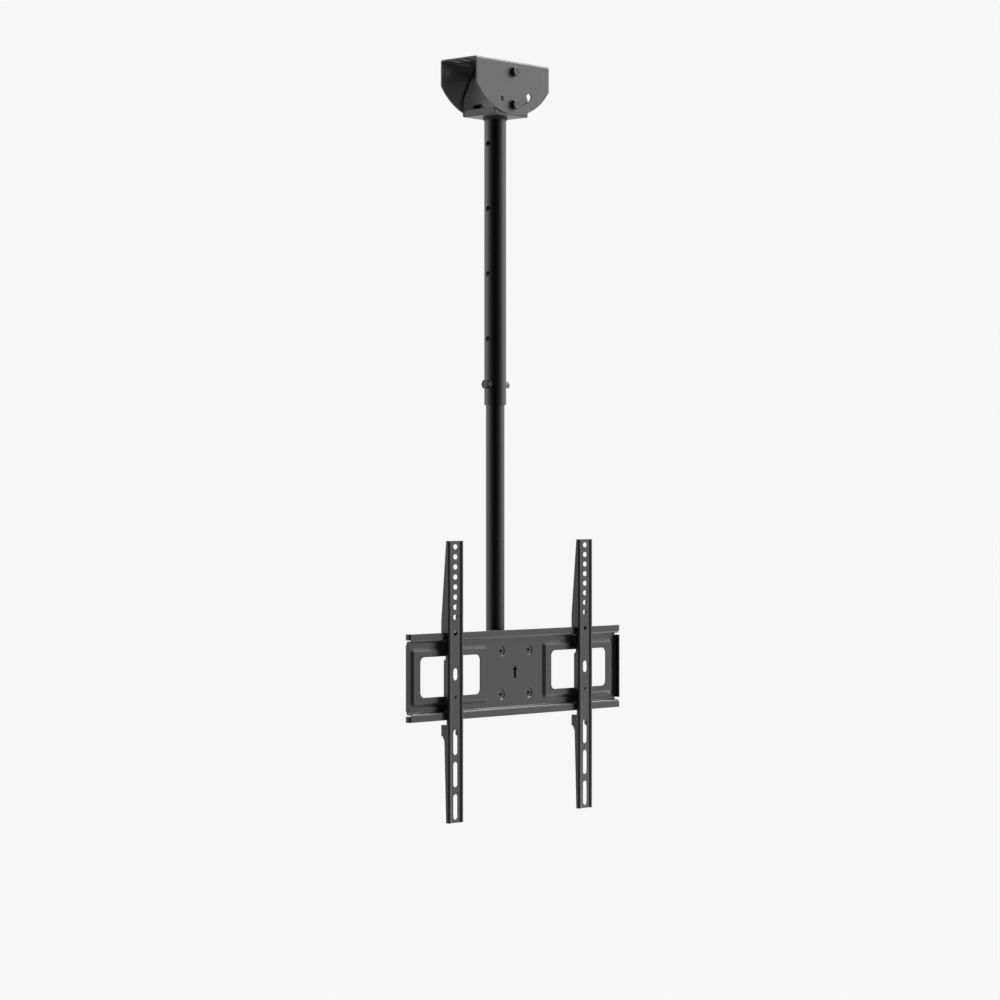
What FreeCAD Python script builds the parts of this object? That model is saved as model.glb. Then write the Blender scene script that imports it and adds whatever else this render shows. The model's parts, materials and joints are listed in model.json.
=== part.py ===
"""Telescopic ceiling mount for a flat screen, in millimetres.

The origin is the middle of the ceiling plate's top face, on the axis of the pole. Z points up, the
screen side of the mount faces -Y, and X runs along the wide mounting plate. From the top down the
mount is a folded ceiling bracket, a yoke that swings in it on sloped ceilings, a pole of two tubes
that swivels and telescopes, a tilt head with a pressed plate, and two arms hooked on that plate.
"""
import FreeCAD, Part
import math
import os

from FreeCAD import Vector

# Sheet thicknesses and the inside radius of the folds
BRACKET_SHEET = 2.5
PLATE_SHEET = 2.0
ARM_SHEET = 1.6
EAR_SHEET = 3.0
FOLD = 1.5
ARM_FOLD = 1.2
YOKE_FOLD = 0.5

# Clearances
FLAT_GAP = 0.3        # between flat sheets that slide on each other
RUNNING_GAP = 0.05    # radial, of a pin in the hole that turns on it
HOLE_GAP = 0.2        # radial, of a screw in a plain hole
SEAT_GAP = 0.1        # under a head or washer that slides on another piece
BUSH_GAP = 0.08       # radial, of the tube in its bush

# Fasteners: shank radius, width across flats, head height, nut height
M8_RADIUS, M8_FLATS, M8_HEAD, M8_NUT = 4.0, 13.0, 5.3, 6.5
M8_WASHER_RADIUS, M8_WASHER = 8.0, 1.6
M6_RADIUS, M6_FLATS, M6_HEAD, M6_NUT = 3.0, 10.0, 4.0, 5.0
M6_BUTTON_RADIUS, M6_BUTTON = 5.5, 2.4
M5_RADIUS, M5_HEAD_RADIUS, M5_HEAD = 2.5, 4.5, 3.0
THREAD_PROUD = 3.0    # thread that stands out of a nut
THREAD_GAP = 0.05     # radial, between a thread's core and its nut
HEX_CHAMFER = 1.0

# Yoke
YOKE_WIDTH = 71.7     # along X
YOKE_DEPTH = 70.2     # along Y, over the cheeks
YOKE_FLOOR = 83.4     # depth of its underside below the ceiling
YOKE_SHOULDER = 56.0  # depth at which the cheeks reach full width
YOKE_TOP_RADIUS = 12.5
YOKE_SHOULDER_RADIUS = 15.0
LIP_HEIGHT = 10.5
LIP_RELIEF = 1.0      # slit between a lip and a cheek

# Ceiling bracket
BRACKET_WIDTH = 163.6
BRACKET_DEPTH = YOKE_DEPTH + 2 * (FLAT_GAP + BRACKET_SHEET)
BRACKET_SIDE = 40.0   # depth at which the straight side ends
BRACKET_DROP = 82.0   # depth of the lowest point of the curved cheek
PIVOT_DROP = 16.5
LOCK_RADIUS = 50.3    # from the pivot to the lock screws
SLOPE_RANGE = 45.0    # degrees that the yoke can swing towards +X
SLOT_SPARE = 1.5      # degrees of slot past the lock screw at each end
ARC_SLOT_GAP = 1.1
LEVEL_HOLE_ANGLE = 31.0
LEVEL_HOLE_RADIUS = 4.0
CEILING_SLOT_X = BRACKET_WIDTH / 2 - 18.8
CEILING_SLOT_Y = 20.0
CEILING_SLOT_LENGTH = 30.0
CEILING_SLOT_WIDTH = 8.0

# Pole
UPPER_RADIUS = 16.85
UPPER_WALL = 2.0
LOWER_RADIUS = 14.35
LOWER_WALL = 2.0
UPPER_TOP = 73.6      # depths below the ceiling
UPPER_FOOT = 526.0
LOWER_TOP = 455.0
LOWER_FOOT = 976.0
TUBE_HOLE_RADIUS = 4.3
TUBE_HOLE_FIRST = 125.0
TUBE_HOLE_PITCH = 100.0
TUBE_HOLE_COUNT = 4
CLAMP_LIFT = 31.5     # height of the clamp screws above the upper tube's foot
BOSS_RADIUS = 6.4
BOSS_PROUD = 2.2
TUBE_END_CHAMFER = 0.5

# Swivel bush and the ring that carries the pole on it
BUSH_WALL = 2.0
BUSH_FLANGE_RADIUS = 28.0
BUSH_FLANGE = 2.0
BUSH_PROUD = 4.1      # length of the sleeve below the yoke
RING_RADIUS = 27.0
RING_HEIGHT = 4.0

# End plug of the lower tube
PLUG_HEAD = 2.0
PLUG_DEPTH = 6.0
PLUG_RADIUS = 13.4

# Mounting plate
PLATE_CENTRE = 935.2  # depth of its middle, which is also the tilt axis
PLATE_WIDTH = 480.0
PLATE_HEIGHT = 130.0
PLATE_FRONT = -41.0   # Y of the panel's front face
RAIL_PROUD = 8.6      # how far the rails stand in front of the panel
RAIL_HEIGHT = 12.5    # from the plate's edge to the underside of the rail's step
END_WALL_GAP = 3.0    # notch between the end wall and the rail
END_WALL_SET = 1.2    # how far the end walls stop short of the rails' fronts
FRAME_PROUD = 3.0     # height of the raised frame round a window
FRAME_RUN = 5.5       # width of the sloping wall round it
FRAME_INNER = 62.5    # |x| of the frame's foot nearest the middle
FRAME_OUTER = 231.0
FRAME_HEIGHT = 88.0
FRAME_CORNER = 8.0
WINDOW_INNER = 81.0
WINDOW_OUTER = 211.8
WINDOW_HEIGHT = 60.0
WINDOW_CORNER = 8.5
SCREW_X = 31.5
SCREW_Z = 33.0
DIMPLE_RADIUS = 8.2
DIMPLE_DEPTH = 1.1
SOCKET_FLATS = 4.0
SOCKET_DEPTH = 1.8
ARROW_LENGTH = 19.0
ARROW_HEAD_LENGTH = 6.5
ARROW_HEAD_WIDTH = 11.5
ARROW_SHAFT_WIDTH = 4.6

# Tilt ears
EAR_HEIGHT = 86.0
EAR_REACH = 46.0      # |x| of the ear's flange edge
EAR_PIVOT_RADIUS = 13.0
EAR_FOOT_DROP = 13.0  # below the lock screw
TILT_LOCK_RADIUS = 30.0
TILT_DOWN = 20.0      # degrees
TILT_UP = 5.0

# Arms
ARM_X = 148.0         # distance of each arm's middle from the pole
ARM_TOP = 733.4
ARM_LENGTH = 420.0
ARM_WIDTH = 32.4
ARM_FACE = -57.2      # Y of the front face
ARM_RIM = 4.8         # width of the raised rim along each edge of the face
ARM_RECESS = 1.8      # depth of the strip between the rims
ARM_TAIL = 6.2        # depth of the flanges at both ends of the arm
ARM_DEPTH = 16.1      # depth of the flanges at the hooks
ARM_WAIST = 9.7       # depth of the flanges just below the lower tab
ARM_SWELL = 852.0     # depth at which the flanges reach that depth
HOOK_TAIL = 9.8       # length of the hook behind the rail
TONGUE_TOP = 909.0    # depth at which the tongue between the rails starts
TONGUE_GAP = 2.2      # between the tongue and the raised frames
LOWER_NOTCH = 2.0     # spare depth of the notch at the lower rail
LOWER_TAB_GAP = 7.0   # below the plate
LOWER_TAB_HEIGHT = 17.2
TAB_SLOPE = 7.5
TAB_LAND = 2.8        # flat part of the tab's foot
ARM_HOLE_FIRST = 742.2
ARM_HOLE_PITCH = 15.0
ARM_HOLE_COUNT = 8
ARM_HOLE_WIDE = 10.0
ARM_HOLE_HIGH = 7.6
ARM_SLOTS = ((932.2, 18.2), (1033.5, 38.0), (1081.6, 38.0), (1129.7, 38.0))
ARM_SLOT_WIDE = 10.0
ARM_SMALL_HOLES = ((872.0, 3.6), (967.0, 2.6))
ARM_SCREW_DROP = 4.2  # from the top of the lower tab to the cross screw
ARM_SCREW_INSET = 10.4  # from the arm's face to the cross screw

# Worked out from the sizes above
YOKE_HALF_DEPTH = YOKE_DEPTH / 2
BRACKET_HALF_DEPTH = BRACKET_DEPTH / 2
CLAMP_DROP = UPPER_FOOT - CLAMP_LIFT
LOCK_DROP = PIVOT_DROP + LOCK_RADIUS
PLATE_TOP = PLATE_CENTRE - PLATE_HEIGHT / 2
PLATE_FOOT = PLATE_CENTRE + PLATE_HEIGHT / 2
PLATE_BACK = PLATE_FRONT + PLATE_SHEET
RAIL_FRONT = PLATE_FRONT - RAIL_PROUD
EAR_INNER = LOWER_RADIUS + FLAT_GAP
EAR_OUTER = EAR_INNER + EAR_SHEET
BIG = 400.0           # a length that reaches through the whole mount


def at_plane(plane, u, v, w=0.0):
    """A point from two coordinates in a plane and its height w over that plane."""
    if plane == "XY":
        return Vector(u, v, w)
    if plane == "XZ":
        return Vector(u, w, v)
    return Vector(w, u, v)


def axis_vector(axis):
    """Unit vector of a named axis."""
    return {"X": Vector(1, 0, 0), "Y": Vector(0, 1, 0), "Z": Vector(0, 0, 1)}[axis]


def box(x, y, z):
    """Block between two limits on each axis."""
    return Part.makeBox(x[1] - x[0], y[1] - y[0], z[1] - z[0], Vector(x[0], y[0], z[0]))


def rod(axis, radius, start, end, at):
    """Cylinder along an axis. at is its place on the other two axes, in X, Y, Z order."""
    low, high = min(start, end), max(start, end)
    place = {"X": Vector(low, *at), "Y": Vector(at[0], low, at[1]), "Z": Vector(*at, low)}[axis]
    return Part.makeCylinder(radius, high - low, place, axis_vector(axis))


def tube(axis, outer, inner, start, end, at):
    """Ring or tube along an axis."""
    return rod(axis, outer, start, end, at).cut(rod(axis, inner, start, end, at))


def outline(points, plane, w=0.0):
    """Closed wire through corners (u, v) or (u, v, radius), with true arcs at rounded corners."""
    edges = []
    stops = []
    count = len(points)
    for index, point in enumerate(points):
        before, after = points[index - 1], points[(index + 1) % count]
        radius = point[2] if len(point) > 2 else 0.0
        here = Vector(point[0], point[1], 0)
        back = (Vector(before[0], before[1], 0) - here).normalize()
        ahead = (Vector(after[0], after[1], 0) - here).normalize()
        half = math.acos(max(-1.0, min(1.0, back.dot(ahead)))) / 2
        if radius <= 0.0 or half > math.radians(89.9):
            stops.append((here, here, None))
            continue
        reach = radius / math.tan(half)
        middle = (back + ahead).normalize() * (radius / math.sin(half) - radius)
        stops.append((here + back * reach, here + ahead * reach, here + middle))
    place = [tuple(None if p is None else at_plane(plane, p.x, p.y, w) for p in stop) for stop in stops]
    for index, (first, last, middle) in enumerate(place):
        if middle is not None:
            edges.append(Part.Arc(first, middle, last).toShape())
        following = place[(index + 1) % count][0]
        if last.distanceToPoint(following) > 1e-6:
            edges.append(Part.LineSegment(last, following).toShape())
    return Part.Wire(edges)


def prism(points, plane, low, high):
    """Solid with the given outline, from low to high across its plane."""
    across = at_plane(plane, 0, 0, high - low)
    return Part.Face(outline(points, plane, low)).extrude(across)


def folded_sheet(path, thickness, fold):
    """Corners of a sheet folded along a path. The sheet lies on the path's left."""
    count = len(path)
    runs = []
    for index in range(count - 1):
        du, dv = path[index + 1][0] - path[index][0], path[index + 1][1] - path[index][1]
        size = math.hypot(du, dv)
        runs.append((du / size, dv / size))
    near, far = [], []
    for index, (u, v) in enumerate(path):
        first = runs[max(index - 1, 0)]
        last = runs[min(index, count - 2)]
        turn = first[0] * last[1] - first[1] * last[0]
        cosine = first[0] * last[0] + first[1] * last[1]
        normal = (-(first[1] + last[1]) / (1 + cosine), (first[0] + last[0]) / (1 + cosine))
        ends = index in (0, count - 1)
        near_radius = 0.0 if ends else (fold + thickness if turn > 0 else fold)
        far_radius = 0.0 if ends else (fold if turn > 0 else fold + thickness)
        near.append((u, v, near_radius))
        far.append((u + normal[0] * thickness, v + normal[1] * thickness, far_radius))
    return near + far[::-1]


def slot(axis, along, length, width, start, end, at):
    """Round-ended slot cutter through an axis, stretched along another axis."""
    reach = (length - width) / 2
    order = [name for name in "XYZ" if name != axis]
    ends = []
    for sign in (-1, 1):
        shifted = list(at)
        shifted[order.index(along)] += sign * reach
        ends.append(shifted)
    limits = {axis: (start, end)}
    for name, middle in zip(order, at):
        half = reach if name == along else width / 2
        limits[name] = (middle - half, middle + half)
    body = box(limits["X"], limits["Y"], limits["Z"])
    return body.fuse([rod(axis, width / 2, start, end, place) for place in ends])


def arc_slot(plane, centre, radius, width, first, last, low, high):
    """Curved slot cutter. Angles are in degrees from straight down, towards the plane's first axis."""
    def spot(distance, angle):
        turn = math.radians(angle)
        u, v = centre[0] + distance * math.sin(turn), centre[1] - distance * math.cos(turn)
        return at_plane(plane, u, v, low)

    inner, outer, middle = radius - width / 2, radius + width / 2, (first + last) / 2
    cap = math.degrees(width / 2 / radius)
    edges = [
        Part.Arc(spot(outer, first), spot(outer, middle), spot(outer, last)).toShape(),
        Part.Arc(spot(outer, last), spot(radius, last + cap), spot(inner, last)).toShape(),
        Part.Arc(spot(inner, last), spot(inner, middle), spot(inner, first)).toShape(),
        Part.Arc(spot(inner, first), spot(radius, first - cap), spot(outer, first)).toShape(),
    ]
    return Part.Face(Part.Wire(edges)).extrude(at_plane(plane, 0, 0, high - low))


def tangent_point(centre, radius, point, side):
    """Where the line from a point touches a circle. side is 1 or -1."""
    du, dv = point[0] - centre[0], point[1] - centre[1]
    spread = math.acos(radius / math.hypot(du, dv))
    angle = math.atan2(dv, du) + side * spread
    return (centre[0] + radius * math.cos(angle), centre[1] + radius * math.sin(angle))


def hexagon(axis, flats, start, end, at, turn=0.0):
    """Hexagonal bar whose end at the second limit has the round chamfer of a bolt head."""
    corner = flats / math.sqrt(3)
    order = {"X": "YZ", "Y": "XZ", "Z": "XY"}[axis]
    points = []
    for index in range(6):
        angle = math.radians(60 * index + turn)
        points.append((at[0] + corner * math.cos(angle), at[1] + corner * math.sin(angle)))
    low, high = min(start, end), max(start, end)
    bar = prism(points, order, low, high)
    outward = 1 if end > start else -1
    body = rod(axis, corner, start, end - outward * HEX_CHAMFER, at)
    direction = axis_vector(axis) * outward
    base = at_plane(order, at[0], at[1], end - outward * HEX_CHAMFER)
    narrow = corner - HEX_CHAMFER * math.tan(math.radians(60))
    top = Part.makeCone(corner, narrow, HEX_CHAMFER, base, direction)
    return bar.common(body.fuse(top))


def bolt(axis, radius, flats, height, seat, tip, at):
    """Hex bolt whose head sits on the seat and whose shank runs to the tip."""
    outward = -1 if tip > seat else 1
    head = hexagon(axis, flats, seat, seat + outward * height, at)
    shank = rod(axis, radius, seat, tip, at)
    rim = [edge for edge in shank.Edges if is_end_circle(edge, axis, tip)]
    return head.fuse(shank.makeChamfer(radius * 0.2, rim)).removeSplitter()


def is_end_circle(edge, axis, place):
    """True for a round edge that lies at a place along an axis."""
    middle = edge.BoundBox.Center.dot(axis_vector(axis))
    return edge.Closed and abs(middle - place) < 1e-4


def nut(axis, bore, flats, seat, end, at):
    """Hex nut that sits on the seat and ends at the given place."""
    return hexagon(axis, flats, seat, end, at).cut(rod(axis, bore, seat, end, at))


def export(name, shape):
    """Write one named piece and say what it holds."""
    shape.exportStep(f"parts/{name}.step")
    print(f"{name}: {len(shape.Solids)} solid(s), {shape.Volume / 1000:.1f} cm3, valid {shape.isValid()}")


def ceiling_bracket():
    """Folded channel: top plate with fixing slots and two cheeks with curved lower edges."""
    half = BRACKET_HALF_DEPTH
    path = [(half, -BRACKET_DROP), (half, 0), (-half, 0), (-half, -BRACKET_DROP)]
    side = BRACKET_WIDTH / 2
    channel = prism(folded_sheet(path, BRACKET_SHEET, FOLD), "YZ", -side, side)
    corners = [Vector(side, -half, -BRACKET_SIDE), Vector(0, -half, -BRACKET_DROP),
               Vector(-side, -half, -BRACKET_SIDE)]
    edges = [
        Part.Arc(*corners).toShape(),
        Part.LineSegment(corners[2], Vector(-side, -half, 0)).toShape(),
        Part.LineSegment(Vector(-side, -half, 0), Vector(side, -half, 0)).toShape(),
        Part.LineSegment(Vector(side, -half, 0), corners[0]).toShape(),
    ]
    cheek = Part.Face(Part.Wire(edges)).extrude(Vector(0, 2 * half, 0))
    bracket = channel.common(cheek)
    cuts = [rod("Y", M8_RADIUS + HOLE_GAP, -half, half, (0, -PIVOT_DROP))]
    width = 2 * (M8_RADIUS + ARC_SLOT_GAP)
    cuts.append(arc_slot("XZ", (0, -PIVOT_DROP), LOCK_RADIUS, width, -SLOT_SPARE,
                         SLOPE_RANGE + SLOT_SPARE, -half, half))
    cuts.append(level_hole(half))
    for x in (-CEILING_SLOT_X, CEILING_SLOT_X):
        for y in (-CEILING_SLOT_Y, 0, CEILING_SLOT_Y):
            cuts.append(slot("Z", "X", CEILING_SLOT_LENGTH, CEILING_SLOT_WIDTH, -BRACKET_SHEET, 0, (x, y)))
    return bracket.cut(cuts)


def level_hole(half):
    """Cutter of the hole in a front cheek. Bracket and yoke have it in line while the yoke hangs level."""
    turn = math.radians(LEVEL_HOLE_ANGLE)
    x = -LOCK_RADIUS * math.sin(turn)
    z = -PIVOT_DROP - LOCK_RADIUS * math.cos(turn)
    return rod("Y", LEVEL_HOLE_RADIUS, -half, 0, (x, z))


def yoke():
    """Folded U that hangs in the bracket: tapered cheeks, a floor and a low lip on each open side."""
    half, side = YOKE_HALF_DEPTH, YOKE_WIDTH / 2
    top = -PIVOT_DROP + YOKE_TOP_RADIUS
    path = [(-half, top), (-half, -YOKE_FLOOR), (half, -YOKE_FLOOR), (half, top)]
    channel = prism(folded_sheet(path, BRACKET_SHEET, YOKE_FOLD), "YZ", -side, side)
    pivot = (0, -PIVOT_DROP)
    shoulder = (side, -YOKE_SHOULDER)
    touch = tangent_point(pivot, YOKE_TOP_RADIUS, shoulder, 1)
    right = [(side, -YOKE_FLOOR), (side, -YOKE_SHOULDER, YOKE_SHOULDER_RADIUS), touch]
    left = [(-point[0], *point[1:]) for point in right[::-1]]
    cheek = prism(right + left, "XZ", -half, half).fuse(rod("Y", YOKE_TOP_RADIUS, -half, half, pivot))
    body = channel.common(cheek)
    bend = YOKE_FOLD + BRACKET_SHEET
    lip_half = half - bend - LIP_RELIEF
    for sign in (-1, 1):
        edge = sorted((sign * side, sign * (side - bend)))
        floor = (-YOKE_FLOOR, -YOKE_FLOOR + bend)
        body = body.cut(box(edge, (-half + bend, half - bend), floor))
    lips = [(-side, -YOKE_FLOOR + LIP_HEIGHT), (-side, -YOKE_FLOOR), (side, -YOKE_FLOOR),
            (side, -YOKE_FLOOR + LIP_HEIGHT)]
    body = body.fuse(prism(folded_sheet(lips, BRACKET_SHEET, YOKE_FOLD), "XZ", -lip_half, lip_half))
    cuts = [
        rod("Y", M8_RADIUS + RUNNING_GAP, -half, half, pivot),
        rod("Y", M8_RADIUS + HOLE_GAP, -half, half, (0, -LOCK_DROP)),
        rod("Z", UPPER_RADIUS + BUSH_GAP + BUSH_WALL, -YOKE_FLOOR, -YOKE_FLOOR + BRACKET_SHEET, (0, 0)),
        level_hole(half),
    ]
    return body.cut(cuts).removeSplitter()


def slope_fasteners():
    """Pivot bolt across both cheeks, and a short lock screw with a weld nut in each cheek."""
    outer = BRACKET_HALF_DEPTH
    pivot = (0, -PIVOT_DROP)
    seat = outer + M8_WASHER
    end = seat + M8_NUT + THREAD_PROUD
    yield "slope_pivot_bolt", bolt("Y", M8_RADIUS, M8_FLATS, M8_HEAD, -seat, end, pivot)
    bore = M8_RADIUS + HOLE_GAP
    rings = [tube("Y", M8_WASHER_RADIUS, bore, sign * outer, sign * seat, pivot) for sign in (-1, 1)]
    yield "slope_pivot_washers", Part.makeCompound(rings)
    yield "slope_pivot_nut", nut("Y", M8_RADIUS + THREAD_GAP, M8_FLATS, seat, seat + M8_NUT, pivot)
    lock = (0, -LOCK_DROP)
    near = outer + SEAT_GAP
    inner = YOKE_HALF_DEPTH - BRACKET_SHEET
    screws, washers, nuts = [], [], []
    for sign in (-1, 1):
        tip = sign * (inner - M8_NUT)
        screws.append(bolt("Y", M8_RADIUS, M8_FLATS, M8_HEAD, sign * (near + M8_WASHER), tip, lock))
        washers.append(tube("Y", M8_WASHER_RADIUS, bore, sign * near, sign * (near + M8_WASHER), lock))
        nuts.append(nut("Y", M8_RADIUS + THREAD_GAP, M8_FLATS, sign * inner, tip, lock))
    yield "slope_lock_screws", Part.makeCompound(screws)
    yield "slope_lock_washers", Part.makeCompound(washers)
    yield "slope_lock_nuts", Part.makeCompound(nuts)


def swivel_bush():
    """Flanged nylon bush that lines the hole in the yoke's floor."""
    bore = UPPER_RADIUS + BUSH_GAP
    top = -YOKE_FLOOR + BRACKET_SHEET
    sleeve = rod("Z", bore + BUSH_WALL, -YOKE_FLOOR - BUSH_PROUD, top, (0, 0))
    flange = rod("Z", BUSH_FLANGE_RADIUS, top, top + BUSH_FLANGE, (0, 0))
    return sleeve.fuse(flange).cut(rod("Z", bore, -BIG, top + BUSH_FLANGE, (0, 0))).removeSplitter()


def retaining_ring():
    """Ring welded round the top of the pole. It turns on the bush and carries the load."""
    foot = -YOKE_FLOOR + BRACKET_SHEET + BUSH_FLANGE + SEAT_GAP
    return tube("Z", RING_RADIUS, UPPER_RADIUS, foot, foot + RING_HEIGHT, (0, 0))


def softened_tube(outer, wall, top, foot):
    """Tube between two depths with its sharp end edges broken."""
    shape = tube("Z", outer, outer - wall, -foot, -top, (0, 0))
    ends = [edge for edge in shape.Edges if is_end_circle(edge, "Z", -top) or is_end_circle(edge, "Z", -foot)]
    outside = [edge for edge in ends if edge.Curve.Radius > outer - wall / 2]
    return shape.makeChamfer(TUBE_END_CHAMFER, outside)


def upper_tube():
    """Outer tube with a row of cross holes and the two holes of the clamp screws."""
    shape = softened_tube(UPPER_RADIUS, UPPER_WALL, UPPER_TOP, UPPER_FOOT)
    cuts = []
    for index in range(TUBE_HOLE_COUNT):
        depth = TUBE_HOLE_FIRST + index * TUBE_HOLE_PITCH
        cuts.append(rod("X", TUBE_HOLE_RADIUS, -UPPER_RADIUS, UPPER_RADIUS, (0, -depth)))
    cuts.append(rod("X", M8_RADIUS + HOLE_GAP, -UPPER_RADIUS, 0, (0, -CLAMP_DROP)))
    cuts.append(rod("X", M6_RADIUS + HOLE_GAP, 0, UPPER_RADIUS, (0, -CLAMP_DROP)))
    return shape.cut(cuts)


def clamp_pieces():
    """Threaded bosses welded to the tube, the clamp screw on the left, the stop screw and its lock nut."""
    at = (0, -CLAMP_DROP)
    seat = UPPER_RADIUS + BOSS_PROUD
    barrel = rod("Z", UPPER_RADIUS, -UPPER_FOOT, -UPPER_TOP, (0, 0))
    left = tube("X", BOSS_RADIUS, M8_RADIUS + THREAD_GAP, -seat, -UPPER_RADIUS + UPPER_WALL, at).cut(barrel)
    right = tube("X", BOSS_RADIUS, M6_RADIUS + THREAD_GAP, UPPER_RADIUS - UPPER_WALL, seat, at).cut(barrel)
    yield "clamp_bosses", Part.makeCompound([left, right])
    tip = LOWER_RADIUS + FLAT_GAP
    yield "clamp_screw", bolt("X", M8_RADIUS, M8_FLATS, M8_HEAD, -seat, -tip, at)
    head_seat = seat + M6_NUT
    yield "stop_screw", bolt("X", M6_RADIUS, M6_FLATS, M6_HEAD, head_seat, tip, at)
    yield "stop_nut", nut("X", M6_RADIUS + THREAD_GAP, M6_FLATS, seat, head_seat, at)


def lower_tube():
    """Inner tube with the cross holes of the tilt pivot and the tilt lock."""
    shape = softened_tube(LOWER_RADIUS, LOWER_WALL, LOWER_TOP, LOWER_FOOT)
    holes = [-PLATE_CENTRE, -PLATE_CENTRE - TILT_LOCK_RADIUS]
    radius = M8_RADIUS + HOLE_GAP
    return shape.cut([rod("X", radius, -LOWER_RADIUS, LOWER_RADIUS, (0, z)) for z in holes])


def end_plug():
    """Plastic plug in the foot of the lower tube."""
    head = rod("Z", LOWER_RADIUS, -LOWER_FOOT - PLUG_HEAD, -LOWER_FOOT, (0, 0))
    rim = [edge for edge in head.Edges if is_end_circle(edge, "Z", -LOWER_FOOT - PLUG_HEAD)]
    head = head.makeFillet(PLUG_HEAD * 0.6, rim)
    radius = LOWER_RADIUS - LOWER_WALL
    stem = rod("Z", radius, -LOWER_FOOT, -LOWER_FOOT + PLUG_DEPTH, (0, 0))
    return head.fuse(stem).removeSplitter()


def tilt_fasteners():
    """Two bolts across the lower tube: the pivot, and the lock in the ears' arc slots."""
    seat = EAR_OUTER + SEAT_GAP + M8_WASHER
    for name, depth in (("pivot", PLATE_CENTRE), ("lock", PLATE_CENTRE + TILT_LOCK_RADIUS)):
        at = (0, -depth)
        tip = seat + M8_NUT + THREAD_PROUD
        yield f"tilt_{name}_bolt", bolt("X", M8_RADIUS, M8_FLATS, M8_HEAD, -seat, tip, at)
        bore = M8_RADIUS + HOLE_GAP
        inner = seat - M8_WASHER
        rings = [tube("X", M8_WASHER_RADIUS, bore, sign * inner, sign * seat, at) for sign in (-1, 1)]
        yield f"tilt_{name}_washers", Part.makeCompound(rings)
        yield f"tilt_{name}_nut", nut("X", M8_RADIUS + THREAD_GAP, M8_FLATS, seat, seat + M8_NUT, at)


def tilt_ear(sign):
    """Folded angle: a flange behind the plate and an ear beside the lower tube."""
    path = [(EAR_REACH, PLATE_BACK), (EAR_INNER, PLATE_BACK), (EAR_INNER, EAR_PIVOT_RADIUS)]
    section = folded_sheet([(u, v) for u, v in path[::-1]], EAR_SHEET, FOLD)
    top, foot = -PLATE_CENTRE + EAR_HEIGHT / 2, -PLATE_CENTRE - EAR_HEIGHT / 2
    angle = prism(section, "XY", foot, top)
    pivot = (0, -PLATE_CENTRE)
    ledge = PLATE_BACK + EAR_SHEET + FOLD
    corner = (ledge, top)
    touch = tangent_point(pivot, EAR_PIVOT_RADIUS, corner, -1)
    lower = -PLATE_CENTRE - TILT_LOCK_RADIUS - EAR_FOOT_DROP
    profile = [(PLATE_BACK, top), corner, touch, (EAR_PIVOT_RADIUS, pivot[1]),
               (EAR_PIVOT_RADIUS, lower, EAR_PIVOT_RADIUS * 0.7), (ledge, foot), (PLATE_BACK, foot)]
    side = prism(profile, "YZ", EAR_INNER, EAR_REACH)
    side = side.fuse(rod("X", EAR_PIVOT_RADIUS, EAR_INNER, EAR_REACH, pivot))
    ear = angle.common(side)
    width = 2 * (M8_RADIUS + ARC_SLOT_GAP)
    cuts = [
        rod("X", M8_RADIUS + RUNNING_GAP, EAR_INNER, EAR_OUTER, pivot),
        arc_slot("YZ", pivot, TILT_LOCK_RADIUS, width, -TILT_DOWN - SLOT_SPARE, TILT_UP + SLOT_SPARE,
                 EAR_INNER, EAR_OUTER),
    ]
    for offset in (-SCREW_Z, SCREW_Z):
        at = (SCREW_X, -PLATE_CENTRE + offset)
        cuts.append(rod("Y", M6_RADIUS + HOLE_GAP, PLATE_BACK, PLATE_BACK + EAR_SHEET, at))
    ear = ear.cut(cuts)
    return ear if sign > 0 else ear.mirror(Vector(0, 0, 0), Vector(1, 0, 0))


def ring_outline(inner, outer, height, inset, corner, y):
    """Rounded rectangle beside the pole, drawn at a given Y, for a window or its raised frame."""
    left, right = inner + inset, outer - inset
    top, foot = -PLATE_CENTRE + height / 2 - inset, -PLATE_CENTRE - height / 2 + inset
    radius = max(corner - inset, 0.5)
    points = [(left, foot, radius), (right, foot, radius), (right, top, radius), (left, top, radius)]
    return outline(points, "XZ", y)


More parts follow.
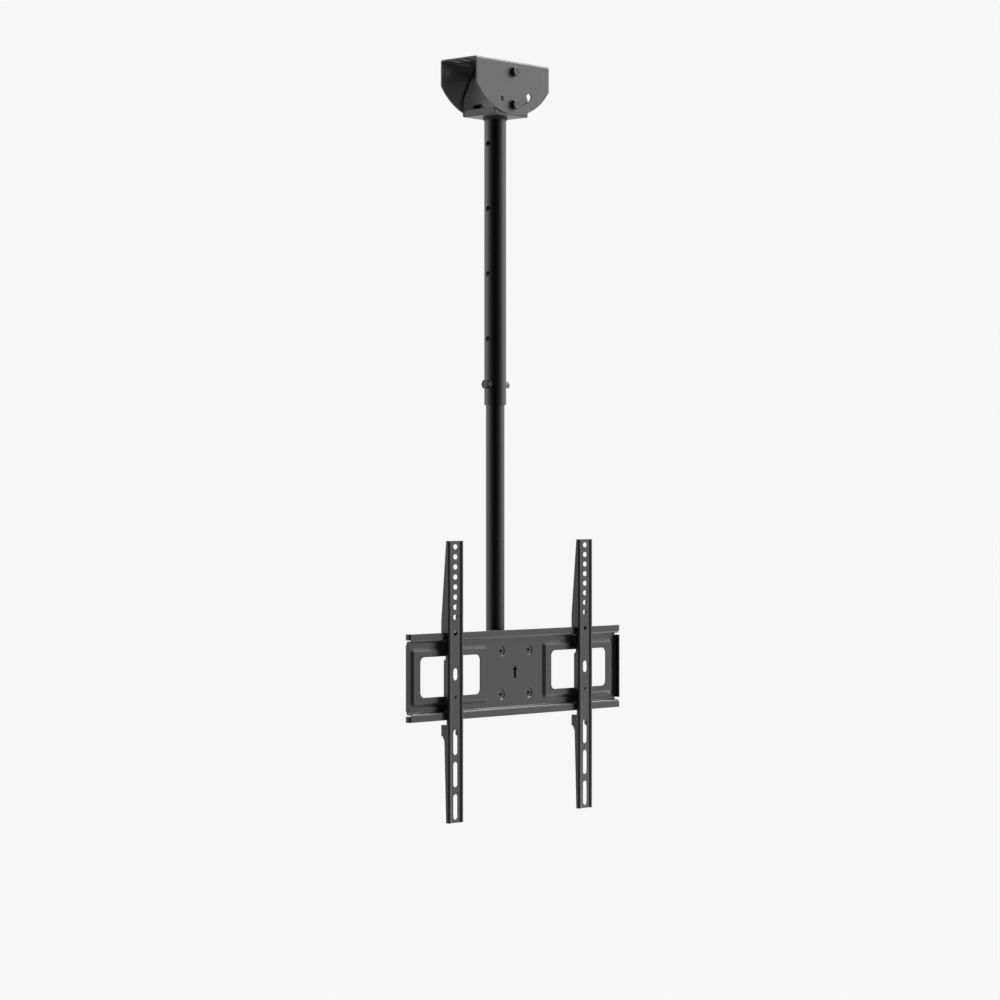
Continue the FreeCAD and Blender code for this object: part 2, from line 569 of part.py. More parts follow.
def mounting_plate():
    """Pressed plate: stepped rails with closed ends, end walls, raised frames, windows and dimples."""
    side = PLATE_WIDTH / 2
    top, foot = -PLATE_TOP, -PLATE_FOOT
    upper_step, lower_step = top - RAIL_HEIGHT, foot + RAIL_HEIGHT
    bend = FOLD + PLATE_SHEET
    path = [(RAIL_FRONT, top), (RAIL_FRONT, upper_step), (PLATE_FRONT, upper_step),
            (PLATE_FRONT, lower_step), (RAIL_FRONT, lower_step), (RAIL_FRONT, foot)]
    plate = prism(folded_sheet(path, PLATE_SHEET, FOLD), "YZ", -side + bend, side - bend)
    lip = [(-side, PLATE_FRONT), (-side, RAIL_FRONT), (side, RAIL_FRONT), (side, PLATE_FRONT)]
    lip_sheet = folded_sheet(lip, PLATE_SHEET, FOLD)
    lips = [prism(lip_sheet, "XY", upper_step + bend, top), prism(lip_sheet, "XY", foot, lower_step - bend)]
    wall_top = upper_step - END_WALL_GAP
    wall_foot = lower_step + END_WALL_GAP
    inside = side - PLATE_SHEET
    rim = RAIL_FRONT + END_WALL_SET
    tray = [(-inside, rim), (-inside, PLATE_FRONT), (inside, PLATE_FRONT), (inside, rim)]
    walls = prism(folded_sheet(tray, PLATE_SHEET, FOLD), "XY", wall_foot, wall_top)
    plate = plate.fuse(lips + [walls])
    frame_top = PLATE_FRONT - FRAME_PROUD
    lean = math.hypot(FRAME_RUN, FRAME_PROUD)
    thin = PLATE_SHEET * (lean - FRAME_RUN) / FRAME_PROUD
    slope = FRAME_RUN / FRAME_PROUD
    frames, hollows = [], []
    for sign in (-1, 1):
        size = (FRAME_INNER, FRAME_OUTER, FRAME_HEIGHT)
        root = PLATE_SHEET / 2 * slope
        dome = Part.makeLoft([ring_outline(*size, -root, FRAME_CORNER, PLATE_FRONT + PLATE_SHEET / 2),
                              ring_outline(*size, FRAME_RUN, FRAME_CORNER, frame_top)], True, True)
        hollow = Part.makeLoft([ring_outline(*size, thin, FRAME_CORNER, PLATE_BACK),
                                ring_outline(*size, thin + FRAME_RUN, FRAME_CORNER, frame_top + PLATE_SHEET)],
                               True, True)
        window = ring_outline(WINDOW_INNER, WINDOW_OUTER, WINDOW_HEIGHT, 0, WINDOW_CORNER, RAIL_FRONT)
        opening = Part.Face(window).extrude(Vector(0, PLATE_BACK - RAIL_FRONT, 0))
        pieces = [dome, hollow, opening]
        if sign < 0:
            pieces = [piece.mirror(Vector(0, 0, 0), Vector(1, 0, 0)) for piece in pieces]
        frames.append(pieces[0])
        hollows += pieces[1:]
    plate = plate.fuse(frames)
    cuts = hollows + [arrow()]
    for x in (-SCREW_X, SCREW_X):
        for offset in (-SCREW_Z, SCREW_Z):
            at = (x, -PLATE_CENTRE + offset)
            cuts.append(rod("Y", M6_RADIUS + HOLE_GAP, PLATE_FRONT, PLATE_BACK, at))
            wide = Part.makeCone(DIMPLE_RADIUS, DIMPLE_RADIUS - DIMPLE_DEPTH, DIMPLE_DEPTH,
                                 Vector(at[0], PLATE_FRONT, at[1]), Vector(0, 1, 0))
            cuts.append(wide)
    return plate.cut(cuts).removeSplitter()


def arrow():
    """Cutter of the arrow that shows which way up the plate goes."""
    half, head = ARROW_LENGTH / 2, ARROW_HEAD_WIDTH / 2
    neck = -PLATE_CENTRE + half - ARROW_HEAD_LENGTH
    shaft = ARROW_SHAFT_WIDTH / 2
    foot = -PLATE_CENTRE - half
    right = [(shaft, foot), (shaft, neck), (head, neck)]
    points = [(0, -PLATE_CENTRE + half)] + [(-x, z) for x, z in right[::-1]] + right
    return prism(points, "XZ", PLATE_FRONT, PLATE_BACK)


def plate_fasteners():
    """Button-head screws in the dimples, and nuts behind the ears."""
    screws, nuts = [], []
    seat = PLATE_FRONT + DIMPLE_DEPTH
    back = PLATE_BACK + EAR_SHEET
    dome_radius = (M6_BUTTON_RADIUS ** 2 + M6_BUTTON ** 2) / (2 * M6_BUTTON)
    for x in (-SCREW_X, SCREW_X):
        for offset in (-SCREW_Z, SCREW_Z):
            at = (x, -PLATE_CENTRE + offset)
            ball = Part.makeSphere(dome_radius, Vector(x, seat - M6_BUTTON + dome_radius, at[1]))
            head = ball.common(rod("Y", M6_BUTTON_RADIUS, seat - M6_BUTTON, seat, at))
            front = seat - M6_BUTTON
            socket = prism(hex_points(at, SOCKET_FLATS), "XZ", front, front + SOCKET_DEPTH)
            shank = rod("Y", M6_RADIUS, seat, back + M6_NUT + 1.0, at)
            screws.append(head.cut(socket).fuse(shank).removeSplitter())
            nuts.append(nut("Y", M6_RADIUS + THREAD_GAP, M6_FLATS, back, back + M6_NUT, at))
    return Part.makeCompound(screws), Part.makeCompound(nuts)


def hex_points(at, flats):
    """Corners of a hexagon round a point."""
    corner = flats / math.sqrt(3)
    return [(at[0] + corner * math.cos(math.radians(60 * k)), at[1] + corner * math.sin(math.radians(60 * k)))
            for k in range(6)]


def arm(x):
    """Folded channel with a recessed strip, tapered flanges, hooks over the rails, holes and slots."""
    half, back = ARM_WIDTH / 2, ARM_FACE + ARM_DEPTH
    rim = half - ARM_RIM
    floor = ARM_FACE + ARM_RECESS
    strip = rim - ARM_RECESS
    path = [(-half, back), (-half, ARM_FACE), (-rim, ARM_FACE), (-strip, floor),
            (strip, floor), (rim, ARM_FACE), (half, ARM_FACE), (half, back)]
    foot = -ARM_TOP - ARM_LENGTH
    channel = prism(folded_sheet(path, ARM_SHEET, ARM_FOLD), "XY", foot, -ARM_TOP)
    channel = channel.common(prism(arm_side(back, foot), "YZ", -half, half))
    cuts = []
    for index in range(ARM_HOLE_COUNT):
        z = -ARM_HOLE_FIRST - index * ARM_HOLE_PITCH
        cuts.append(slot("Y", "X", ARM_HOLE_WIDE, ARM_HOLE_HIGH, ARM_FACE, back, (0, z)))
    for depth, length in ARM_SLOTS:
        cuts.append(slot("Y", "Z", length, ARM_SLOT_WIDE, ARM_FACE, back, (0, -depth)))
    for depth, radius in ARM_SMALL_HOLES:
        cuts.append(rod("Y", radius, ARM_FACE, back, (0, -depth)))
    cuts.append(rod("X", M5_RADIUS + HOLE_GAP, -half, half, cross_screw_place()))
    shape = channel.cut(cuts)
    return shape.translated(Vector(x, 0, 0))


def arm_side(back, foot):
    """Side view of an arm: tapered flange, hook, tongue between the rails and lower tab."""
    front = ARM_FACE
    clear = RAIL_FRONT - FLAT_GAP
    behind_lip = RAIL_FRONT + PLATE_SHEET + 0.4
    hang = -PLATE_TOP + SEAT_GAP
    tongue = PLATE_FRONT - FRAME_PROUD - TONGUE_GAP
    tongue_foot = -PLATE_FOOT + RAIL_HEIGHT + 1.5
    notch = clear - LOWER_NOTCH
    tab_top = -PLATE_FOOT - LOWER_TAB_GAP
    tab_foot = tab_top - LOWER_TAB_HEIGHT
    tail = ARM_FACE + ARM_TAIL
    waist = ARM_FACE + ARM_WAIST
    return [
        (front, foot), (tail, foot), (waist, tab_foot - TAB_SLOPE, 10.0), (back - TAB_LAND, tab_foot),
        (back, tab_foot, 1.0), (back, tab_top, 1.0), (notch, tab_top, 1.5), (notch, tongue_foot, 1.5),
        (tongue, tongue_foot, 2.0), (tongue, -TONGUE_TOP - 2.7, 2.0), (clear, -TONGUE_TOP, 2.0),
        (clear, hang), (behind_lip, hang), (behind_lip, hang - HOOK_TAIL), (back, hang - HOOK_TAIL, 1.0),
        (back, -ARM_SWELL, 30.0), (tail, -ARM_TOP), (front, -ARM_TOP),
    ]


def cross_screw_place():
    """Y and Z of the screw that crosses an arm under the lower rail."""
    return (ARM_FACE + ARM_SCREW_INSET, -PLATE_FOOT - LOWER_TAB_GAP - ARM_SCREW_DROP)


def arm_screw(x):
    """Pan-head screw across the arm's lower tabs. It stops the arm from lifting off the rails."""
    at = cross_screw_place()
    seat = x + ARM_WIDTH / 2
    shank = rod("X", M5_RADIUS, x - ARM_WIDTH / 2, seat, at)
    head = rod("X", M5_HEAD_RADIUS, seat, seat + M5_HEAD, at)
    rim = [edge for edge in head.Edges if is_end_circle(edge, "X", seat + M5_HEAD)]
    head = head.makeFillet(M5_HEAD * 0.5, rim)
    return head.fuse(shank).removeSplitter()


def main():
    """Build every piece and write it under its own name."""
    os.makedirs("parts", exist_ok=True)
    export("ceiling_bracket", ceiling_bracket())
    export("yoke", yoke())
    for name, shape in slope_fasteners():
        export(name, shape)
    export("swivel_bush", swivel_bush())
    export("upper_tube", upper_tube())
    export("retaining_ring", retaining_ring())
    for name, shape in clamp_pieces():
        export(name, shape)
    export("lower_tube", lower_tube())
    export("end_plug", end_plug())
    for name, shape in tilt_fasteners():
        export(name, shape)
    for name, sign in (("left", -1), ("right", 1)):
        export(f"{name}_tilt_ear", tilt_ear(sign))
    export("mounting_plate", mounting_plate())
    screws, nuts = plate_fasteners()
    export("plate_screws", screws)
    export("plate_nuts", nuts)
    for name, sign in (("left", -1), ("right", 1)):
        export(f"{name}_arm", arm(sign * ARM_X))
        export(f"{name}_arm_screw", arm_screw(sign * ARM_X))


main()
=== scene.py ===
# %% [markdown]
# # A telescopic ceiling mount in Blender
#
# The real thing is a folded and welded steel product with a satin black powder coat and plated bolts.
# It hangs from the ceiling plate at the top. A yoke lets it swing for sloped ceilings, the pole turns
# and telescopes, and a pressed plate with two hooked arms tilts at the bottom.
# The solids of the frame give the sizes and places. This script dresses them: it turns the bolts on a
# virtual lathe, drills the tubes, softens the edges of the folded sheets, and paints the finishes.

# %% Start from the frame
import json
import math

import bmesh
import bpy
from mathutils import Euler, Matrix, Vector

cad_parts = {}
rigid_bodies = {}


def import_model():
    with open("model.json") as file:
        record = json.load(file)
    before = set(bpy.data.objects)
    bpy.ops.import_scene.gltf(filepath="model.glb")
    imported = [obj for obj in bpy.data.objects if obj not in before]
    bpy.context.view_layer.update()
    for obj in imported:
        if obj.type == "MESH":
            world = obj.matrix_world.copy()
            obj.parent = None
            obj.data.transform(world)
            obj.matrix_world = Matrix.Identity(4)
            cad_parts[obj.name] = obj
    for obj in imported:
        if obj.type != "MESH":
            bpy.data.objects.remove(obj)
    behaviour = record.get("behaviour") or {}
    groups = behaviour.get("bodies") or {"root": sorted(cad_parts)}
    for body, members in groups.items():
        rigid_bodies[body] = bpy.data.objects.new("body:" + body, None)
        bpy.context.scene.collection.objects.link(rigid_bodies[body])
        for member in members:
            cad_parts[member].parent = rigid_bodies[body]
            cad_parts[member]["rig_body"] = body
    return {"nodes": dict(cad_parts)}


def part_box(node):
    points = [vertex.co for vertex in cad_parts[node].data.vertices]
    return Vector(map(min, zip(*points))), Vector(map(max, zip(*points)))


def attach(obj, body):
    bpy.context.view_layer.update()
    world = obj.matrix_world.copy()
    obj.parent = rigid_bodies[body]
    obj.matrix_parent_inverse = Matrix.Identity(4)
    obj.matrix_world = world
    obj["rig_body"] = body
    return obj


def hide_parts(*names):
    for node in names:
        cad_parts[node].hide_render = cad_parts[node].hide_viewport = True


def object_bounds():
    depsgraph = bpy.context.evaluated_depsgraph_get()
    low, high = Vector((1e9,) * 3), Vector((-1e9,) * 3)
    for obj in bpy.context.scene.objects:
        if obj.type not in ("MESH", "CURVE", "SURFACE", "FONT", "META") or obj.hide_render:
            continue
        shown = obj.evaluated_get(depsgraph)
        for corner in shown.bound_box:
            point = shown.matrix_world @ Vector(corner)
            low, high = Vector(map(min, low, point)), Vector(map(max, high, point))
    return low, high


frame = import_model()
MM = 0.001
first_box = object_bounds()
print("nodes:", len(frame["nodes"]))

# %% [markdown]
# ## Finishes
#
# Powder coat is a plastic skin baked on steel. It is black all through, half matt, and has the faint
# waviness of an orange's peel. A picture of paint could be wrapped round each piece, but it would need
# seams. A dark base colour, a middling roughness and a very small noise bump need none. The noise reads
# Object coordinates, so it stays on the piece when a joint moves. All the finishes are built from the
# same few steps, so those are helpers.

# %% Small helpers for material trees
def node_of(tree, kind, **sockets):
    """Add a node, set its named input sockets, and link those that are given another node's output."""
    node = tree.nodes.new(kind)
    for label, value in sockets.items():
        socket = node.inputs[label.replace("_", " ")]
        if isinstance(value, bpy.types.NodeSocket):
            tree.links.new(value, socket)
        else:
            socket.default_value = value
    return node


def blank_material(name):
    """A new material with its tree and its shader, and nothing else yet."""
    material = bpy.data.materials.new(name)
    material.use_nodes = True
    return material, material.node_tree, material.node_tree.nodes["Principled BSDF"]


def own_noise(tree, scale, detail):
    """Output of a noise that is fixed to the piece."""
    place = tree.nodes.new("ShaderNodeTexCoord").outputs["Object"]
    return node_of(tree, "ShaderNodeTexNoise", Vector=place, Scale=scale, Detail=detail).outputs["Fac"]


def tint(tree, shader, noise, dark, light):
    """Let a noise shift the base colour between two colours."""
    ramp = node_of(tree, "ShaderNodeValToRGB", Fac=noise)
    for stop, colour in zip(ramp.color_ramp.elements, (dark, light)):
        stop.color = (*colour, 1.0)
    tree.links.new(ramp.outputs["Color"], shader.inputs["Base Color"])


def emboss(tree, shader, noise, strength, distance):
    """Let a noise raise and lower the surface as a bump."""
    bump = node_of(tree, "ShaderNodeBump", Height=noise, Strength=strength, Distance=distance)
    tree.links.new(bump.outputs["Normal"], shader.inputs["Normal"])


# %% [markdown]
# The coat comes in three batches, because the parts don't shine alike. The bracket, the yoke, the ears
# and the welded bits have the matt one. The plate and the arms are a deeper black, and the tubes are
# the blackest and the smoothest, so that they mirror the room in long clean streaks.

# %% Black powder coat, in three batches
# The blacks lean a little to blue.
BLUE = 1.05


def powder_coat(name, roughness, dark, light, specular=0.5):
    """Coat whose base colour drifts slowly between two near blacks, with an orange peel bump."""
    material, tree, shader = blank_material(name)
    shader.inputs["Roughness"].default_value = roughness
    shader.inputs["Specular IOR Level"].default_value = specular
    cloud = own_noise(tree, scale=9.0, detail=3.0)
    tint(tree, shader, cloud, (dark, dark, dark * BLUE), (light, light, light * BLUE))
    emboss(tree, shader, own_noise(tree, scale=620.0, detail=2.0), strength=0.10, distance=0.3 * MM)
    return material


coat = powder_coat("powder_coat_matt", 0.36, 0.034, 0.044, specular=0.42)
deep_coat = powder_coat("powder_coat_deep", 0.32, 0.004, 0.008)
tube_coat = powder_coat("powder_coat_satin", 0.27, 0.0012, 0.0026)
print("finishes:", coat.name, deep_coat.name, tube_coat.name)

# %% [markdown]
# The bolts, nuts and washers are plated black. Plating is thin, so it keeps the gloss of the metal, and
# the marks of the plating barrel stay visible as a slight change of roughness from spot to spot. One
# noise drives both the colour and the roughness, so that the two change at the same spots.

# %% Black plated steel
def plated_steel():
    """Dark metal whose colour and gloss change a little from spot to spot."""
    material, tree, shader = blank_material("plated_steel_black")
    shader.inputs["Metallic"].default_value = 1.0
    spots = own_noise(tree, scale=260.0, detail=4.0)
    tint(tree, shader, spots, (0.036, 0.036, 0.037), (0.060, 0.060, 0.062))
    rough = node_of(tree, "ShaderNodeMapRange", Value=spots, To_Min=0.18, To_Max=0.30)
    tree.links.new(rough.outputs["Result"], shader.inputs["Roughness"])
    return material


steel = plated_steel()
print("finish:", steel.name)

# %% [markdown]
# The swivel bush and the end plug are black nylon. It is duller than paint, so it has a higher
# roughness and a lower specular level, and the grain of its mould is a very fine bump.

# %% Black nylon
def black_nylon():
    """Dull black plastic with a fine grain."""
    material, tree, shader = blank_material("nylon_black")
    shader.inputs["Base Color"].default_value = (0.005, 0.005, 0.0055, 1.0)
    shader.inputs["Specular IOR Level"].default_value = 0.3
    shader.inputs["Roughness"].default_value = 0.48
    emboss(tree, shader, own_noise(tree, scale=1500.0, detail=1.0), strength=0.08, distance=0.2 * MM)
    return material


nylon = black_nylon()
print("finish:", nylon.name)

# %% [markdown]
# ## Joining a piece to the frame
#
# Each finished piece rides on the same body as the solid that it stands for, and hides it.
# One helper does both, so that no piece is forgotten.

# %% Put a piece in the place of its solids
made = []


def stands_for(piece, *nodes):
    """Let a piece ride with its solids and show in their place."""
    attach(piece, frame["nodes"][nodes[0]]["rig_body"])
    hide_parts(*nodes)
    made.append(piece.name)


def new_piece(name, mesh, material):
    """An object at the origin for a mesh whose vertices already hold its place."""
    piece = bpy.data.objects.new(name, mesh)
    bpy.context.scene.collection.objects.link(piece)
    mesh.materials.clear()
    mesh.materials.append(material)
    return piece


# %% [markdown]
# ## Measuring the solids
#
# A node may hold several solids, such as a pair of washers. Splitting its mesh into islands gives the
# box of each one, and so the place and length of every screw without writing a number down.

# %% Boxes of the separate solids in a node
# Corners of loose triangles that lie within a micrometre are one point.
JOIN_WITHIN = 1e-6


def merged(node):
    """A copy of a node's mesh as a bmesh, with its loose triangles joined up."""
    shape = bmesh.new()
    shape.from_mesh(frame["nodes"][node].data)
    bmesh.ops.remove_doubles(shape, verts=shape.verts, dist=JOIN_WITHIN)
    return shape


def solid_boxes(node):
    """(lowest corner, highest corner) of each solid in a node, in order of place."""
    shape = merged(node)
    left = set(shape.verts)
    boxes = []
    while left:
        front = [left.pop()]
        island = list(front)
        while front:
            vertex = front.pop()
            for edge in vertex.link_edges:
                other = edge.other_vert(vertex)
                if other in left:
                    left.discard(other)
                    front.append(other)
                    island.append(other)
        low = Vector([min(v.co[k] for v in island) for k in range(3)])
        high = Vector([max(v.co[k] for v in island) for k in range(3)])
        boxes.append((low, high))
    shape.free()
    return sorted(boxes, key=lambda box: tuple(box[0]))


print("solids in the plate screws:", len(solid_boxes("plate_screws")))

# %% [markdown]
# ## Turning the fasteners
#
# A six-sided cylinder on a round one would be a quick bolt, but it lacks the curved chamfer and the
# thread that catch the light. So a screw begins as a turned blank, as in the works: rings of points
# round an axis. Each ring carries two numbers for the next step, the width across flats that a hexagon
# would leave there, and how deep a thread is cut. A ring that stays round is given flats so wide, a
# whole metre, that they never touch it.

# %% Rings of points round an axis
SEGMENTS = 60
ROUND = 1.0


def turned(name, rings, closed=False):
    """Mesh of revolution. rings are (radius, height, flats, thread); closed joins last to first."""
    points, flats, thread, rows = [], [], [], []
    for radius, height, across, depth in rings:
        count = 1 if radius == 0 else SEGMENTS
        rows.append(range(len(points), len(points) + count))
        for k in range(count):
            turn = 2 * math.pi * k / SEGMENTS
            points.append((radius * math.cos(turn), radius * math.sin(turn), height))
            flats.append(across)
            thread.append(depth)
    faces = []
    pairs = list(zip(rows, rows[1:])) + ([(rows[-1], rows[0])] if closed else [])
    for upper, lower in pairs:
        for k in range(SEGMENTS):
            after = (k + 1) % SEGMENTS
            if len(upper) == 1:
                faces.append((upper[0], lower[k], lower[after]))
            elif len(lower) == 1:
                faces.append((upper[k], lower[0], upper[after]))
            else:
                faces.append((upper[k], lower[k], lower[after], upper[after]))
    mesh = bpy.data.meshes.new(name)
    mesh.from_pydata(points, [], faces)
    for label, values in (("flats", flats), ("thread", thread)):
        mesh.attributes.new(label, "FLOAT", "POINT").data.foreach_set("value", values)
    return mesh


# %% [markdown]
# The profiles come next. The hexagon's curved chamfer needs no modelling: the blank's top is a cone,
# and where the flats cut into the cone the curve appears by itself, as it does on the real bolt. A
# thread's depth is a share of its pitch, so one rule serves every size.

# %% Profiles of a hexagon head, a thread and a nut
SIZES = {
    "M8": {"shank": 4.0 * MM, "flats": 13.0 * MM, "head": 5.3 * MM, "pitch": 1.25 * MM},
    "M6": {"shank": 3.0 * MM, "flats": 10.0 * MM, "head": 4.0 * MM, "pitch": 1.00 * MM},
    "M5": {"shank": 2.5 * MM, "flats": 8.0 * MM, "head": 3.0 * MM, "pitch": 0.80 * MM},
}
SOFT = 0.25 * MM
CHAMFER_SLOPE = math.tan(math.radians(30))
# Radii on a hexagon head, as shares of its width across flats.
CHAMFER_START = 0.475
DISH_FLOOR = 0.34
DISH_RIM = 0.37
BEARING_FACE = 0.49
# Lengths on a thread, as shares of its pitch.
THREAD_DEPTH = 0.6
FADE_OUT = 0.4
NUT_MOUTH = 0.45
RINGS_PER_TURN = 8


def cone_rows(flats, top, down, steps=5):
    """Rings of the 30 degree cone from the chamfer's start out to the hexagon's corners."""
    inner, corner = CHAMFER_START * flats, flats / math.sqrt(3)
    drop = (corner - inner) * CHAMFER_SLOPE
    return [(inner + (corner - inner) * k / steps, top + down * drop * k / steps, flats, 0.0)
            for k in range(steps + 1)]


def thread_rows(radius, start, end, pitch, sign=1.0):
    """Close rings that carry a thread, faded at both ends. sign is -1 where it is cut into a bore."""
    count = max(RINGS_PER_TURN, round(abs(end - start) / pitch * RINGS_PER_TURN))
    rows = []
    for k in range(count + 1):
        height = start + (end - start) * k / count
        fade = min(1.0, abs(height - start) / pitch, abs(height - end) / (FADE_OUT * pitch))
        rows.append((radius, height, ROUND, sign * fade))
    return rows


def threaded_end(shank, length, thread_length, pitch):
    """Rings of a screw's thread, its chamfered end and its flat tip at -length."""
    depth = THREAD_DEPTH * pitch
    rows = thread_rows(shank, -length + thread_length, -length + depth, pitch)
    return rows + [(shank - depth, -length, ROUND, 0), (0, -length, ROUND, 0)]


def hex_screw(size, length, thread_length):
    """Rings of a hexagon screw whose head's top is at height 0 and whose tip is at -length."""
    flats, shank, head, pitch = (SIZES[size][k] for k in ("flats", "shank", "head", "pitch"))
    corner = flats / math.sqrt(3)
    rows = [(0, -SOFT, flats, 0), (DISH_FLOOR * flats, -SOFT, flats, 0), (DISH_RIM * flats, 0, flats, 0)]
    rows += cone_rows(flats, 0, -1)
    rows += [(corner, -head + SOFT, flats, 0), (BEARING_FACE * flats, -head, flats, 0)]
    rows += [(shank + SOFT, -head, ROUND, 0), (shank, -head - SOFT, ROUND, 0)]
    return rows + threaded_end(shank, length, thread_length, pitch)


def hex_nut(size, bore, height):
    """Rings of a nut from its outer face at 0 down to -height, with a threaded bore."""
    flats, pitch = SIZES[size]["flats"], SIZES[size]["pitch"]
    mouth = bore + NUT_MOUTH * pitch
    rows = [(mouth, 0, ROUND, 0)] + cone_rows(flats, 0, -1)
    rows += cone_rows(flats, -height, 1)[::-1] + [(mouth, -height, ROUND, 0)]
    return rows + thread_rows(bore, -height + NUT_MOUTH * pitch, -NUT_MOUTH * pitch, pitch, -1.0)


# %% [markdown]
# Button and pan heads are a dome with a hexagon socket. The socket uses the same trick: its rings are
# as wide as the key's corners, and the flats then cut them to the key's hexagon. The dome is a cap of
# a ball, so that it catches a round glint.

# %% Profiles of a socket head and a washer
SOCKET_HEADS = {
    "M6": {"edge": 5.5 * MM, "head": 2.4 * MM, "key": 4.0 * MM, "socket": 1.8 * MM, "thread": 6.0 * MM},
    "M5": {"edge": 4.5 * MM, "head": 3.0 * MM, "key": 3.0 * MM, "socket": 1.5 * MM, "thread": 5.0 * MM},
}
DOME_SHARE = 0.78
DOME_STEPS = 8
WASHER_BORE = 4.2 * MM
WASHER_OUTER = 8.0 * MM
WASHER_ROUND = 0.35
WASHER_BREAK = 0.3


def socket_screw(size, length):
    """Rings of a domed screw with a hexagon socket, from the dome's top at 0 to the tip at -length."""
    shank, pitch = SIZES[size]["shank"], SIZES[size]["pitch"]
    edge, head, key, socket, thread = SOCKET_HEADS[size].values()
    corner = key / math.sqrt(3)
    start = corner + SOFT
    dome = DOME_SHARE * head
    ball = (edge ** 2 + dome ** 2) / (2 * dome)
    rows = [(0, -socket, key, 0), (corner, -socket, key, 0), (corner, -SOFT, key, 0)]
    for k in range(DOME_STEPS + 1):
        radius = start + (edge - start) * k / DOME_STEPS
        drop = math.sqrt(ball ** 2 - start ** 2) - math.sqrt(ball ** 2 - radius ** 2)
        rows.append((radius, -drop, ROUND, 0))
    rows += [(edge, -head + SOFT, ROUND, 0), (edge - SOFT, -head, ROUND, 0), (shank, -head, ROUND, 0)]
    return rows + threaded_end(shank, length, thread, pitch)


def washer(thickness):
    """Rings of a stamped washer: its outer face, at 0, has the rounder edges."""
    bore, outer = WASHER_BORE, WASHER_OUTER
    soft = WASHER_ROUND * thickness
    small = WASHER_BREAK * soft
    rows = [(bore + soft, 0), (outer - soft, 0), (outer - small, -small), (outer, -soft),
            (outer, -thickness + small), (outer - small, -thickness), (bore + small, -thickness),
            (bore, -thickness + small), (bore, -soft), (bore + small, -small)]
    return [(radius, height, ROUND, 0) for radius, height in rows]


# %% [markdown]
# ## The forge: one Geometry Nodes tree for every fastener
#
# The tree takes a blank, presses the hexagon and cuts the thread with one Set Position node, and then
# puts a copy at every place. It is a good job for Geometry Nodes, because one rule serves all sizes
# and the same screw repeats. The places come in as loose points that carry a rotation.

# %% Helpers for geometry trees
def new_tree(name, inputs):
    """A geometry tree with named inputs. Returns the tree and its input node."""
    tree = bpy.data.node_groups.new(name, "GeometryNodeTree")
    tree.interface.new_socket("Geometry", in_out="INPUT", socket_type="NodeSocketGeometry")
    tree.interface.new_socket("Geometry", in_out="OUTPUT", socket_type="NodeSocketGeometry")
    for label, kind in inputs.items():
        tree.interface.new_socket(label, in_out="INPUT", socket_type="NodeSocket" + kind)
    return tree, tree.nodes.new("NodeGroupInput")


def calc(tree, operation, *values):
    """Output of a Math node. Values may be numbers or other outputs."""
    node = tree.nodes.new("ShaderNodeMath")
    node.operation = operation
    for socket, value in zip(node.inputs, values):
        if isinstance(value, bpy.types.NodeSocket):
            tree.links.new(value, socket)
        else:
            socket.default_value = value
    return node.outputs[0]


def attribute(tree, label, kind="FLOAT"):
    """Output that reads a named attribute."""
    node = tree.nodes.new("GeometryNodeInputNamedAttribute")
    node.data_type = kind
    node.inputs["Name"].default_value = label
    return node.outputs["Attribute"]


def end_tree(tree, geometry, material):
    """Realize instances, set the material, and give the tree its output."""
    real = node_of(tree, "GeometryNodeRealizeInstances", Geometry=geometry)
    paint = node_of(tree, "GeometryNodeSetMaterial", Geometry=real.outputs[0], Material=material)
    tree.links.new(paint.outputs[0], tree.nodes.new("NodeGroupOutput").inputs[0])


def run_tree(tree, name, mesh, **values):
    """Run a tree on a mesh and return its result as a plain mesh."""
    host = bpy.data.objects.new(name, mesh)
    bpy.context.scene.collection.objects.link(host)
    modifier = host.modifiers.new("run", "NODES")
    modifier.node_group = tree
    for item in tree.interface.items_tree:
        label = item.name.replace(" ", "_")
        if item.in_out == "INPUT" and label in values:
            modifier[item.identifier] = values[label]
    graph = bpy.context.evaluated_depsgraph_get()
    result = bpy.data.meshes.new_from_object(host.evaluated_get(graph))
    host.modifiers.clear()
    bpy.data.objects.remove(host)
    result.name = name
    return result


# %% [markdown]
# The hexagon is a rule for the distance from the axis: half the width across flats, divided by the
# cosine of the angle from the middle of a flat. The thread is another: a V that climbs one pitch a
# turn. A point keeps its own distance unless the hexagon is nearer, and the groove is taken off that.

# %% The forge tree
SIXTH = math.pi / 3
FULL_TURN = 2 * math.pi
TINY = 1e-6


def hexagon_distance(tree, turn):
    """Output with the distance from the axis to the hexagon, in the direction of turn."""
    from_flat = calc(tree, "SUBTRACT", calc(tree, "FLOORED_MODULO", turn, SIXTH), SIXTH / 2)
    half = calc(tree, "MULTIPLY", attribute(tree, "flats"), 0.5)
    return calc(tree, "DIVIDE", half, calc(tree, "COSINE", from_flat))


def groove_depth(tree, given, turn, height):
    """Output with how deep the thread's V is at a turn and a height."""
    climb = calc(tree, "SUBTRACT", calc(tree, "DIVIDE", height, given.outputs["Pitch"]),
                 calc(tree, "DIVIDE", turn, FULL_TURN))
    wave = calc(tree, "SUBTRACT", calc(tree, "MULTIPLY", calc(tree, "FRACT", climb), 2.0), 1.0)
    groove = calc(tree, "SUBTRACT", 1.0, calc(tree, "ABSOLUTE", wave))
    depth = calc(tree, "MULTIPLY", given.outputs["Depth"], attribute(tree, "thread"))
    return calc(tree, "MULTIPLY", groove, depth)


